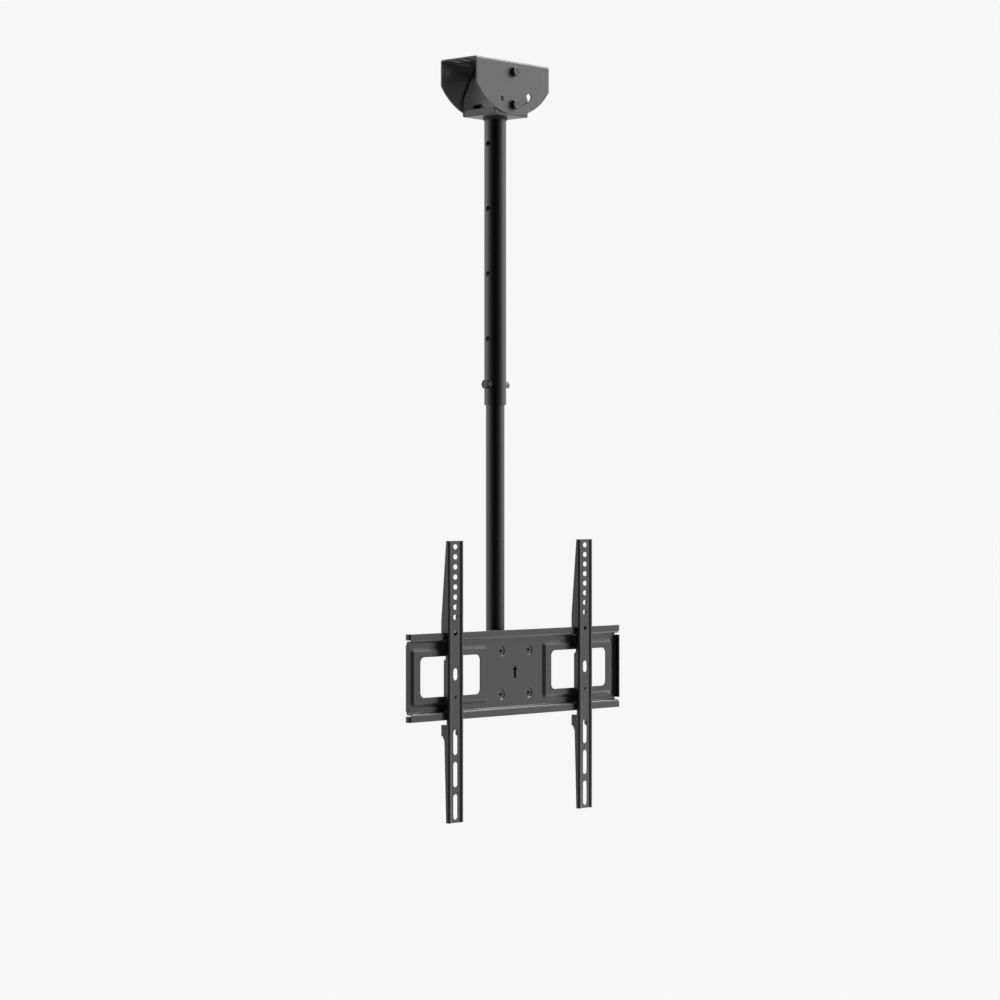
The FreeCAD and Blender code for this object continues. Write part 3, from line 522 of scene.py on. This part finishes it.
def forge_tree():
    """Tree that shapes a blank and puts a copy of it at every point of its geometry."""
    tree, given = new_tree("forge", {
        "Blank": "Object", "Pitch": "Float", "Depth": "Float", "Material": "Material"})
    blank = node_of(tree, "GeometryNodeObjectInfo", Object=given.outputs["Blank"])
    place = tree.nodes.new("GeometryNodeInputPosition").outputs[0]
    x, y, z = node_of(tree, "ShaderNodeSeparateXYZ", Vector=place).outputs
    squares = calc(tree, "ADD", calc(tree, "MULTIPLY", x, x), calc(tree, "MULTIPLY", y, y))
    radius = calc(tree, "SQRT", squares)
    turn = calc(tree, "ARCTAN2", y, x)
    cut = calc(tree, "MINIMUM", radius, hexagon_distance(tree, turn))
    final = calc(tree, "SUBTRACT", cut, groove_depth(tree, given, turn, z))
    ratio = calc(tree, "DIVIDE", final, calc(tree, "MAXIMUM", radius, TINY))
    moved = node_of(tree, "ShaderNodeCombineXYZ", X=calc(tree, "MULTIPLY", x, ratio),
                    Y=calc(tree, "MULTIPLY", y, ratio), Z=z)
    shaped = node_of(tree, "GeometryNodeSetPosition", Geometry=blank.outputs["Geometry"],
                     Position=moved.outputs[0])
    facing_way = tree.nodes.new("FunctionNodeEulerToRotation")
    tree.links.new(attribute(tree, "turn", "FLOAT_VECTOR"), facing_way.inputs[0])
    copies = node_of(tree, "GeometryNodeInstanceOnPoints", Points=given.outputs["Geometry"],
                     Instance=shaped.outputs[0], Rotation=facing_way.outputs[0])
    end_tree(tree, copies.outputs[0], given.outputs["Material"])
    return tree


forge = forge_tree()
print("forge tree:", len(forge.nodes), "nodes")

# %% [markdown]
# Each fastener is described by one row: its node, its form, and the way that its head faces. The length
# and the place come from the solid's own box, so a change in the frame carries through.

# %% Points that say where each copy goes
AXES = {"X": Vector((1, 0, 0)), "Y": Vector((0, 1, 0))}


def facing(box, axis, way):
    """Unit vector of the head's outward side. way is 1, -1, or 0 for away from the pole."""
    low, high = box
    middle = (low + high).dot(AXES[axis])
    sign = way or (1 if middle > 0 else -1)
    return AXES[axis] * sign


def places(boxes, axis, way):
    """Mesh of loose points at the outer end of each solid, with the rotation that faces it outwards."""
    spots, turns = [], []
    for box in boxes:
        out = facing(box, axis, way)
        middle = (box[0] + box[1]) / 2
        reach = abs((box[1] - box[0]).dot(out)) / 2
        side = AXES["Y"] if axis == "X" else AXES["X"]
        basis = Matrix((side, out.cross(side), out)).transposed()
        spots.append(middle + out * reach)
        turns += list(basis.to_euler())
    mesh = bpy.data.meshes.new("places")
    mesh.from_pydata(spots, [], [])
    mesh.attributes.new("turn", "FLOAT_VECTOR", "POINT").data.foreach_set("vector", turns)
    return mesh


# %% Finish a mesh, and forge a node's fasteners
# Points of a made mesh that lie this close are one.
KNIT_WITHIN = 1e-7


def finish_mesh(mesh, crease):
    """Face a mesh outwards and shade it smooth, apart from folds sharper than crease, in degrees."""
    shape = bmesh.new()
    shape.from_mesh(mesh)
    bmesh.ops.remove_doubles(shape, verts=shape.verts, dist=KNIT_WITHIN)
    bmesh.ops.recalc_face_normals(shape, faces=shape.faces)
    shape.to_mesh(mesh)
    shape.free()
    mesh.shade_smooth()
    mesh.set_sharp_from_angle(angle=math.radians(crease))


def forged(node, size, rings, axis, way, closed=False):
    """Make all copies of a fastener in a node from one blank, and put them in the solids' place."""
    boxes = solid_boxes(node)
    length = abs((boxes[0][1] - boxes[0][0]).dot(AXES[axis]))
    blank = bpy.data.objects.new("blank", turned("blank", rings(length), closed))
    bpy.context.scene.collection.objects.link(blank)
    pitch = SIZES[size]["pitch"]
    mesh = run_tree(forge, node, places(boxes, axis, way), Blank=blank, Pitch=pitch,
                    Depth=THREAD_DEPTH * pitch, Material=steel)
    bpy.data.objects.remove(blank)
    finish_mesh(mesh, crease=32.0)
    stands_for(new_piece("turned_" + node, mesh, steel), node)


# %% Hexagon screws and nuts
# Rows of node, size, axis, way that the head faces, and thread length in mm.
HEX_SCREWS = (
    ("slope_pivot_bolt", "M8", "Y", -1, 22),
    ("slope_lock_screws", "M8", "Y", 0, 16),
    ("clamp_screw", "M8", "X", -1, 4),
    ("stop_screw", "M6", "X", 1, 9),
    ("tilt_pivot_bolt", "M8", "X", -1, 13),
    ("tilt_lock_bolt", "M8", "X", -1, 13),
)
# Rows of node, size and axis.
HEX_NUTS = (
    ("slope_pivot_nut", "M8", "Y"),
    ("slope_lock_nuts", "M8", "Y"),
    ("stop_nut", "M6", "X"),
    ("tilt_pivot_nut", "M8", "X"),
    ("tilt_lock_nut", "M8", "X"),
    ("plate_nuts", "M6", "Y"),
)
LONGEST_THREAD = 0.45
NUT_PLAY = 0.05 * MM


def hexagon_fasteners():
    """Forge all screws and nuts with a hexagon. No thread takes more than its share of the length."""
    for node, size, axis, way, thread in HEX_SCREWS:
        forged(node, size, lambda length: hex_screw(
            size, length, min(thread * MM, LONGEST_THREAD * length)), axis, way)
    for node, size, axis in HEX_NUTS:
        bore = SIZES[size]["shank"] + NUT_PLAY
        forged(node, size, lambda length: hex_nut(size, bore, length), axis, 1, closed=True)


hexagon_fasteners()
print("hexagon pieces:", len(made))

# %% Washers and socket screws
# Rows of node and axis.
WASHERS = (
    ("slope_pivot_washers", "Y"),
    ("slope_lock_washers", "Y"),
    ("tilt_pivot_washers", "X"),
    ("tilt_lock_washers", "X"),
)
# Rows of node, size, axis and way that the head faces.
SOCKET_SCREWS = (
    ("plate_screws", "M6", "Y", -1),
    ("left_arm_screw", "M5", "X", 1),
    ("right_arm_screw", "M5", "X", 1),
)


def washers_and_socket_screws():
    """Forge the washers, which face away from the pole, and the screws with a socket."""
    for node, axis in WASHERS:
        forged(node, "M8", washer, axis, 0, closed=True)
    for node, size, axis, way in SOCKET_SCREWS:
        forged(node, size, lambda length: socket_screw(size, length), axis, way)


washers_and_socket_screws()
print("fasteners so far:", len(made))

# %% [markdown]
# ## Bush, ring and plug
#
# These are plain turned parts, so the same rings serve without the forge. A rounded or chamfered
# corner is two rings. The moulded bush has broken edges all round, the welded ring is chamfered on
# its outside, and the plug has a brim as wide as the tube and a stem that fits its bore.

# %% Turned parts of the swivel and the pole's foot
EDGE = 0.5 * MM
TUBE_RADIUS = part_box("upper_tube")[1].x
TUBE_WALL = 2.0 * MM
BUSH_PLAY = 0.08 * MM
BUSH_WALL = 2.0 * MM
BUSH_FLANGE = 2.0 * MM
PLUG_ROUND_IN = 0.35 * MM
PLUG_ROUND_UP = 0.45 * MM
PLUG_FACE_IN = 1.2 * MM


def lathe_piece(node, rings, material, closed=True):
    """Turn (radius, height) rings into a finished piece."""
    mesh = turned(node, [(radius, height, ROUND, 0) for radius, height in rings], closed)
    finish_mesh(mesh, crease=50.0)
    stands_for(new_piece("turned_" + node, mesh, material), node)


def swivel_bush():
    """Sleeve with a flange at its top, round the upper tube."""
    low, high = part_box("swivel_bush")
    bore = TUBE_RADIUS + BUSH_PLAY
    sleeve = bore + BUSH_WALL
    rim, under = high.x, high.z - BUSH_FLANGE
    lathe_piece("swivel_bush", [
        (bore, low.z + EDGE), (bore + EDGE, low.z), (sleeve - EDGE, low.z), (sleeve, low.z + EDGE),
        (sleeve, under), (rim - EDGE, under), (rim, under + EDGE),
        (rim, high.z - EDGE), (rim - EDGE, high.z), (bore + EDGE, high.z), (bore, high.z - EDGE)], nylon)


def retaining_ring():
    """Ring welded on the upper tube, with its outer edges chamfered."""
    low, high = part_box("retaining_ring")
    lathe_piece("retaining_ring", [
        (TUBE_RADIUS, low.z), (high.x - EDGE, low.z), (high.x, low.z + EDGE), (high.x, high.z - EDGE),
        (high.x - EDGE, high.z), (TUBE_RADIUS, high.z)], coat)


def end_plug():
    """Plug in the lower tube's foot: a stem inside, and a brim that narrows to its rounded end."""
    low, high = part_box("end_plug")
    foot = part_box("lower_tube")[0].z
    stem = high.x - TUBE_WALL
    lathe_piece("end_plug", [
        (0, high.z), (stem - EDGE, high.z), (stem, high.z - EDGE), (stem, foot), (high.x, foot),
        (high.x, foot - EDGE), (high.x - PLUG_ROUND_IN, low.z + PLUG_ROUND_UP),
        (high.x - PLUG_FACE_IN, low.z), (0, low.z)], nylon, closed=False)


swivel_bush()
retaining_ring()
end_plug()
print("turned parts:", made[-3:])

# %% [markdown]
# ## The two tubes
#
# A tube is a main piece whose shape follows a rule: a wall of constant thickness, pierced from side to
# side by a row of equal holes and one more at its end. A circle, extruded and given a thickness, would
# do for a plain tube, but not for the holes. The tree makes the outer cylinder and takes the bore and
# the drills away with one Boolean, and so a new row of holes is only a new count and pitch.

# %% The drilled tube tree
TUBE_SIDES = 128
DRILL_SIDES = 48
DRILL_LENGTH = 3.0
BORE_LENGTH = 1.2


def bar(tree, radius, depth, segments):
    """Output with a cylinder along Z, in the middle of the origin."""
    rod = node_of(tree, "GeometryNodeMeshCylinder", Vertices=segments, Radius=radius, Depth=depth)
    return rod.outputs["Mesh"]


def at_height(tree, height):
    """Output with the point of the axis at a height."""
    return node_of(tree, "ShaderNodeCombineXYZ", Z=height).outputs[0]


def drills(tree, reach, first, pitch, count, radius):
    """Output with a row of bars along X, which pierce both walls of the tube."""
    row = node_of(tree, "GeometryNodeMeshLine", Count=count, Start_Location=at_height(tree, first),
                  Offset=at_height(tree, pitch))
    copies = node_of(tree, "GeometryNodeInstanceOnPoints", Points=row.outputs[0],
                     Instance=bar(tree, radius, reach, DRILL_SIDES), Rotation=Euler((0, math.pi / 2, 0)))
    return node_of(tree, "GeometryNodeRealizeInstances", Geometry=copies.outputs[0]).outputs[0]


def tube_tree():
    """Tree that makes a drilled tube from its sizes alone."""
    tree, given = new_tree("drilled tube", {
        "Radius": "Float", "Wall": "Float", "Top": "Float", "Foot": "Float", "First Hole": "Float",
        "Pitch": "Float", "Count": "Int", "Hole Radius": "Float", "Last Hole": "Float",
        "Last Radius": "Float", "Material": "Material"})
    take = given.outputs
    length = calc(tree, "SUBTRACT", take["Top"], take["Foot"])
    middle = calc(tree, "MULTIPLY", calc(tree, "ADD", take["Top"], take["Foot"]), 0.5)
    centre = at_height(tree, middle)
    outer = node_of(tree, "GeometryNodeTransform", Translation=centre,
                    Geometry=bar(tree, take["Radius"], length, TUBE_SIDES))
    bore_radius = calc(tree, "SUBTRACT", take["Radius"], take["Wall"])
    bore_length = calc(tree, "MULTIPLY", length, BORE_LENGTH)
    bore = node_of(tree, "GeometryNodeTransform", Translation=centre,
                   Geometry=bar(tree, bore_radius, bore_length, TUBE_SIDES))
    reach = calc(tree, "MULTIPLY", take["Radius"], DRILL_LENGTH)
    row = drills(tree, reach, take["First Hole"], take["Pitch"], take["Count"], take["Hole Radius"])
    last = drills(tree, reach, take["Last Hole"], 0.0, 1, take["Last Radius"])
    cut = tree.nodes.new("GeometryNodeMeshBoolean")
    cut.operation = "DIFFERENCE"
    cut.solver = "EXACT"
    tree.links.new(outer.outputs[0], cut.inputs["Mesh 1"])
    for tool in (bore.outputs[0], row, last):
        tree.links.new(tool, cut.inputs["Mesh 2"])
    end_tree(tree, cut.outputs["Mesh"], take["Material"])
    return tree


drilled_tube = tube_tree()
print("tube tree:", len(drilled_tube.nodes), "nodes")

# %% [markdown]
# A sawn and deburred tube end has a small round. A Bevel modifier that only acts on sharp edges rounds
# the ends and the rims of the holes together, and the long side of the tube stays smooth. The upper
# tube has a row of four holes for cable ties and the pair for the clamp screws. The lower tube's own
# two are where the tilt bolts go through, and they follow from the bolts' solids.

# %% Both tubes
TIE_ROW_START = -125 * MM
TIE_ROW_PITCH = -100 * MM
TIE_HOLE = 4.3 * MM
BOLT_HOLE = 4.2 * MM
DEBURRED = 0.35 * MM


def soften(piece, width, by_weight=False):
    """Round the sharp or weighted edges of a piece and keep its flats flat."""
    bevel = piece.modifiers.new("softened edges", "BEVEL")
    bevel.width = width
    bevel.segments = 2
    bevel.limit_method = "WEIGHT" if by_weight else "ANGLE"
    bevel.angle_limit = math.radians(35.0)
    bevel.use_clamp_overlap = True
    flats = piece.modifiers.new("flat areas stay flat", "WEIGHTED_NORMAL")
    flats.mode = "FACE_AREA"
    flats.weight = 100
    flats.keep_sharp = True
    return piece


def tube_piece(node, **holes):
    """Make a tube as long and as wide as its solid, with the given holes."""
    low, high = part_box(node)
    mesh = run_tree(drilled_tube, node, bpy.data.meshes.new(node), Radius=high.x, Wall=TUBE_WALL,
                    Top=high.z, Foot=low.z, Material=tube_coat, **holes)
    finish_mesh(mesh, crease=35.0)
    stands_for(soften(new_piece("drilled_" + node, mesh, tube_coat), DEBURRED), node)


def middle_height(node):
    """Height of the middle of a node's box."""
    return sum(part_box(node), Vector()).z / 2


def both_tubes():
    """Drill the upper tube for ties and clamp screws, and the lower tube for the tilt bolts."""
    tube_piece("upper_tube", First_Hole=TIE_ROW_START, Pitch=TIE_ROW_PITCH, Count=4, Hole_Radius=TIE_HOLE,
               Last_Hole=middle_height("clamp_bosses"), Last_Radius=BOLT_HOLE)
    pivot, lock = middle_height("tilt_pivot_bolt"), middle_height("tilt_lock_bolt")
    tube_piece("lower_tube", First_Hole=pivot, Pitch=lock - pivot, Count=2, Hole_Radius=BOLT_HOLE,
               Last_Hole=lock, Last_Radius=BOLT_HOLE)


both_tubes()
print("tubes:", made[-2:])

# %% [markdown]
# ## Folded and pressed sheets
#
# The bracket, the yoke, the ears, the plate and the arms are folded sheet. Their solids already have
# the true folds, holes and pressings, so to model them again would gain nothing. What they lack is the
# softness of a coated edge: powder builds up there and rounds it. So each is copied, its loose triangles
# are joined and its flat areas merged, and a narrow bevel rounds every cut edge, which then catches the
# light as the real one does. The pressed walls of the plate meet its panel at a shallow angle, in a
# softer bend. A weight on each edge tells the one Bevel modifier how wide to be there.

# %% Softened copies of the sheet parts
FLAT_WITHIN = 0.3
SHALLOW_FOLD = 15.0
SHARP_FOLD = 40.0
SHEET_EDGE = 0.35 * MM
SMALL_EDGE = 0.25 * MM
PLATE_EDGE = 0.3 * MM
PLATE_BEND = 0.6 * MM


def sheet_piece(node, cut_edge, bend=0.0, material=coat):
    """Copy of a sheet with rounded cut edges and, where bend is given, wider rounds at shallow bends."""
    shape = merged(node)
    bmesh.ops.dissolve_limit(shape, angle_limit=math.radians(FLAT_WITHIN), verts=shape.verts,
                             edges=shape.edges)
    widest = max(cut_edge, bend)
    weight = shape.edges.layers.float.new("bevel_weight_edge")
    for edge in shape.edges:
        fold = math.degrees(edge.calc_face_angle(0.0))
        if fold > SHARP_FOLD:
            edge[weight] = cut_edge / widest
        elif fold > SHALLOW_FOLD:
            edge[weight] = bend / widest
    mesh = bpy.data.meshes.new(node)
    shape.to_mesh(mesh)
    shape.free()
    mesh.shade_smooth()
    mesh.set_sharp_from_angle(angle=math.radians(SHARP_FOLD))
    stands_for(soften(new_piece("coated_" + node, mesh, material), widest, by_weight=True), node)


def sheet_parts():
    """Soften every sheet, and the two bosses."""
    for node in ("ceiling_bracket", "yoke", "left_tilt_ear", "right_tilt_ear"):
        sheet_piece(node, SHEET_EDGE)
    sheet_piece("clamp_bosses", SMALL_EDGE)
    sheet_piece("mounting_plate", PLATE_EDGE, bend=PLATE_BEND, material=deep_coat)
    for node in ("left_arm", "right_arm"):
        sheet_piece(node, SMALL_EDGE, material=deep_coat)


sheet_parts()
print("sheets:", made[-8:])

# %% [markdown]
# ## Weld beads
#
# The clamp bosses are welded on the pole. A bead is a row of overlapping puddles, so it is a round
# section swept along the joint with a radius that ripples. A plain ring would miss the joint, which
# bends round the pole. Its path follows from the two cylinders that meet, and the tree resamples it,
# ripples it and gives it its section.

# %% The bead tree
PATH_POINTS = 160
SECTION_POINTS = 12
RIPPLE = 0.10


def bead_tree():
    """Tree that lays a rippled bead along a closed path of edges."""
    tree, given = new_tree("weld bead", {"Radius": "Float", "Puddles": "Int", "Material": "Material"})
    path = node_of(tree, "GeometryNodeMeshToCurve", Mesh=given.outputs["Geometry"])
    fine = node_of(tree, "GeometryNodeResampleCurve", Curve=path.outputs[0], Count=PATH_POINTS)
    travel = tree.nodes.new("GeometryNodeSplineParameter").outputs["Factor"]
    puddle = calc(tree, "MULTIPLY", travel, given.outputs["Puddles"])
    wave = calc(tree, "SINE", calc(tree, "MULTIPLY", puddle, FULL_TURN))
    ripple = calc(tree, "ADD", calc(tree, "MULTIPLY", wave, RIPPLE), 1.0)
    radius = calc(tree, "MULTIPLY", ripple, given.outputs["Radius"])
    ring = node_of(tree, "GeometryNodeCurvePrimitiveCircle", Resolution=SECTION_POINTS, Radius=1.0)
    body = node_of(tree, "GeometryNodeCurveToMesh", Curve=fine.outputs[0],
                   Profile_Curve=ring.outputs["Curve"], Scale=radius)
    end_tree(tree, body.outputs[0], given.outputs["Material"])
    return tree


# %% A bead round each boss
JOINT_POINTS = 48
BEAD_RADIUS = 0.9 * MM
PUDDLES = 14


def boss_joint(side, boss, pole, middle):
    """Closed path where a boss of one radius meets the pole of another, on the side 1 or -1."""
    points = []
    for k in range(JOINT_POINTS):
        turn = FULL_TURN * k / JOINT_POINTS
        y = boss * math.cos(turn)
        points.append((side * math.sqrt(pole ** 2 - y ** 2), y, middle + boss * math.sin(turn)))
    mesh = bpy.data.meshes.new("joint")
    mesh.from_pydata(points, [(k, (k + 1) % JOINT_POINTS) for k in range(JOINT_POINTS)], [])
    return mesh


def boss_beads():
    """Lay a bead round the left and the right boss, and return their names."""
    tree = bead_tree()
    low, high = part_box("clamp_bosses")
    boss, middle = (high.y - low.y) / 2, (high.z + low.z) / 2
    names = []
    for name, side in (("left", -1), ("right", 1)):
        mesh = run_tree(tree, name + "_boss_bead", boss_joint(side, boss, TUBE_RADIUS, middle),
                        Radius=BEAD_RADIUS, Puddles=PUDDLES, Material=coat)
        finish_mesh(mesh, crease=180.0)
        bead = new_piece(name + "_boss_bead", mesh, coat)
        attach(bead, "upper_pole")
        names.append(bead.name)
    return names


print("beads:", boss_beads())

# %% [markdown]
# ## Stage and light
#
# The floor is plain and pale, and lies well below, as the mount hangs. A black tube shows nothing but
# its surroundings, so the light decides its look: bright at both sides and dark on the camera's side
# gives the dark middle and the two bright flanks. The world gives that light further down. The floor
# takes part: in reflections it darkens towards the camera's side as the world does, and to the camera
# it is as white as the background, with a faint shadow.

# %% The camera's place, and helpers for directions and mixes
# The place is in metres, the turn and the tip in degrees, the lens and the sensor in millimetres.
CAMERA_PLACE = Vector((-3.364, -3.071, -0.6814))
CAMERA_TURN = -47.7
CAMERA_TIP = 0.116
LENS = 106.5
SENSOR = 36.0
azimuth = math.radians(CAMERA_TURN)
to_camera = Vector((math.sin(azimuth), -math.cos(azimuth), 0.0))
to_right = Vector((math.cos(azimuth), math.sin(azimuth), 0.0))


def lean(tree, way, direction, low, high, start, end):
    """Output from start to end, as a direction leans towards a given one by low to high."""
    dot = tree.nodes.new("ShaderNodeVectorMath")
    dot.operation = "DOT_PRODUCT"
    tree.links.new(way, dot.inputs[0])
    dot.inputs[1].default_value = direction
    level = node_of(tree, "ShaderNodeMapRange", Value=dot.outputs["Value"], From_Min=low, From_Max=high,
                    To_Min=start, To_Max=end)
    return level.outputs["Result"]


def blend_shaders(tree, share, first, second, end):
    """Mix two shaders by a share, and end the tree with them."""
    choose = tree.nodes.new("ShaderNodeMixShader")
    for source, socket in zip((share, first, second), choose.inputs):
        tree.links.new(source, socket)
    tree.links.new(choose.outputs[0], end.inputs["Surface"])


print("towards the camera:", tuple(round(c, 3) for c in to_camera))

# %% The floor
BACKGROUND = 0.93
PAPER = (BACKGROUND, BACKGROUND, BACKGROUND, 1.0)
PAPER_SHARE = 0.9
FLOOR_GREY = 0.57
FLOOR_DROP = 0.75
FLOOR_REACH = 90.0


def stage_material():
    """Pale and plain. The camera sees it as white as the background, with a soft shadow."""
    material, tree, shader = blank_material("pale_floor")
    shader.inputs["Base Color"].default_value = (FLOOR_GREY, FLOOR_GREY, FLOOR_GREY, 1.0)
    shader.inputs["Roughness"].default_value = 0.8
    shader.inputs["Specular IOR Level"].default_value = 0.0
    way = tree.nodes.new("ShaderNodeVectorMath")
    way.operation = "NORMALIZE"
    tree.links.new(tree.nodes.new("ShaderNodeTexCoord").outputs["Object"], way.inputs[0])
    cloth = lean(tree, way.outputs["Vector"], to_camera, low=0.3, high=0.95, start=1.0, end=0.03)
    ray = tree.nodes.new("ShaderNodeLightPath")
    glossy = ray.outputs["Is Glossy Ray"]
    dimmed = calc(tree, "MULTIPLY", glossy, calc(tree, "SUBTRACT", 1.0, cloth))
    paper = node_of(tree, "ShaderNodeEmission", Color=PAPER, Strength=calc(tree, "SUBTRACT", 1.0, dimmed))
    seen = calc(tree, "MULTIPLY", ray.outputs["Is Camera Ray"], PAPER_SHARE)
    share = calc(tree, "MAXIMUM", glossy, seen)
    blend_shaders(tree, share, shader.outputs[0], paper.outputs[0], tree.nodes["Material Output"])
    return material


def stage_floor():
    """One wide square below the mount."""
    low, reach = first_box[0].z - FLOOR_DROP, FLOOR_REACH
    mesh = bpy.data.meshes.new("floor")
    corners = [(-reach, -reach, low), (reach, -reach, low), (reach, reach, low), (-reach, reach, low)]
    mesh.from_pydata(corners, [], [(0, 1, 2, 3)])
    floor = new_piece("floor", mesh, stage_material())
    return floor


print("floor at", round(stage_floor().data.vertices[0].co.z, 3))

# %% [markdown]
# Five soft boxes add what an even room can't. One from above lights the folds that face up, one from
# the upper right brings out the pressed walls, and one from the lower right the edges that face down.
# A small bright one puts the round glints on the bolts. The last has a narrow beam, aimed at the
# plate, and draws the light line along its rails. A narrow spread makes the middle of a beam brighter,
# so the energy is worked out from the brightness that the lamp's face should have.

# %% Soft boxes
HEART = Vector((0, 0, -0.5))
WIDE = 180.0
# Rows of name, place, aim, width, height, brightness, and spread in degrees.
SOFT_BOXES = (
    ("top_box", HEART + Vector((0, 0, 2.2)) - to_camera * 0.8, HEART, 1.6, 1.6, 1.6, WIDE),
    ("high_box", Vector((1.9, -0.5, 1.3)), Vector((0, 0, -0.4)), 1.1, 1.1, 2.2, WIDE),
    ("glint_box", Vector((1.0, -1.25, 1.4)), Vector((0, 0, -0.05)), 0.45, 0.45, 44.0, WIDE),
    ("low_right_box", Vector((1.35, -0.45, -1.7)), Vector((0, 0, -0.9)), 1.3, 1.0, 3.0, WIDE),
    ("rail_box", Vector((1.9, -0.4, 1.3)), Vector((0.05, -0.03, -1.0)), 1.1, 1.1, 44.0, 24.0),
)


def soft_box(name, place, aim, width, height, brightness, spread):
    """Area lamp that looks at a point. Its face has the brightness given, where 1 is paper white."""
    lamp = bpy.data.lights.new(name, "AREA")
    lamp.shape = "RECTANGLE"
    lamp.size, lamp.size_y = width, height
    half = math.radians(spread) / 2
    lamp.spread = 2 * half
    narrowed = 1.0 - half / math.tan(half) if spread < WIDE else 1.0
    lamp.energy = brightness * math.pi * width * height * narrowed
    holder = bpy.data.objects.new(name, lamp)
    holder.location = place
    holder.rotation_mode = "QUATERNION"
    holder.rotation_quaternion = (place - aim).to_track_quat("Z", "Y")
    bpy.context.scene.collection.objects.link(holder)
    return holder.name


print("soft boxes:", [soft_box(*row) for row in SOFT_BOXES])

# %% [markdown]
# The world is near white to the camera. For its light it is a room lined with white cloth: dark behind
# the camera, brightest beside the mount and a little beyond it, and dimmer straight behind it. The
# right side is the brighter one. A colour ramp over how far a direction leans away from the camera's
# side gives the cloth, as one smooth sweep without the hard rim that a lamp shows in a glossy tube.

# %% World
SWEEP = ((0.00, 0.00), (0.08, 0.03), (0.23, 0.20), (0.33, 0.43), (0.45, 0.77), (0.60, 0.95), (0.74, 0.72),
         (0.90, 0.25), (1.00, 0.20))
SWEEP_PEAK = 3.2
LEFT_SHARE = 0.80


def world_light():
    """World with the cloth for light and reflections, and paper for the camera."""
    world = bpy.data.worlds.new("studio")
    bpy.context.scene.world = world
    world.use_nodes = True
    tree = world.node_tree
    tree.nodes.clear()
    way = tree.nodes.new("ShaderNodeTexCoord").outputs["Generated"]
    away = lean(tree, way, to_camera, low=1.0, high=-1.0, start=0.0, end=1.0)
    sweep = node_of(tree, "ShaderNodeValToRGB", Fac=away)
    sweep.color_ramp.interpolation = "EASE"
    stops = sweep.color_ramp.elements
    while len(stops) < len(SWEEP):
        stops.new(0.5)
    for stop, (place, level) in zip(stops, SWEEP):
        stop.position = place
        stop.color = (level, level, level, 1.0)
    side = lean(tree, way, to_right, low=-0.6, high=0.6, start=LEFT_SHARE, end=1.0)
    glow = node_of(tree, "ShaderNodeBackground", Color=sweep.outputs["Color"],
                   Strength=calc(tree, "MULTIPLY", side, SWEEP_PEAK))
    paper = node_of(tree, "ShaderNodeBackground", Color=PAPER)
    seen = tree.nodes.new("ShaderNodeLightPath").outputs["Is Camera Ray"]
    end = tree.nodes.new("ShaderNodeOutputWorld")
    blend_shaders(tree, seen, glow.outputs[0], paper.outputs[0], end)
    return world


print("world:", world_light().name)

# %% [markdown]
# ## Camera
#
# The camera stands 4.6 m away, a little below the middle of the mount and 48 degrees to the left of
# its front. It looks almost level, so the verticals stay upright, and from so far away a long lens
# shows the near and the far arm at almost the same size.

# %% Camera and view
def camera():
    """The photo's camera, tipped up by a hair."""
    lens = bpy.data.cameras.new("photo")
    lens.lens, lens.sensor_width = LENS, SENSOR
    lens.clip_start, lens.clip_end = 0.05, 150.0
    holder = bpy.data.objects.new("photo", lens)
    bpy.context.scene.collection.objects.link(holder)
    holder.location = CAMERA_PLACE
    tip = math.radians(CAMERA_TIP)
    look = (-to_camera * math.cos(tip) + Vector((0, 0, math.sin(tip)))).normalized()
    holder.rotation_mode = "QUATERNION"
    holder.rotation_quaternion = look.to_track_quat("-Z", "Y")
    bpy.context.scene.camera = holder
    return holder


print("camera at", tuple(round(c, 3) for c in camera().location))
bpy.context.scene.view_settings.view_transform = "Standard"
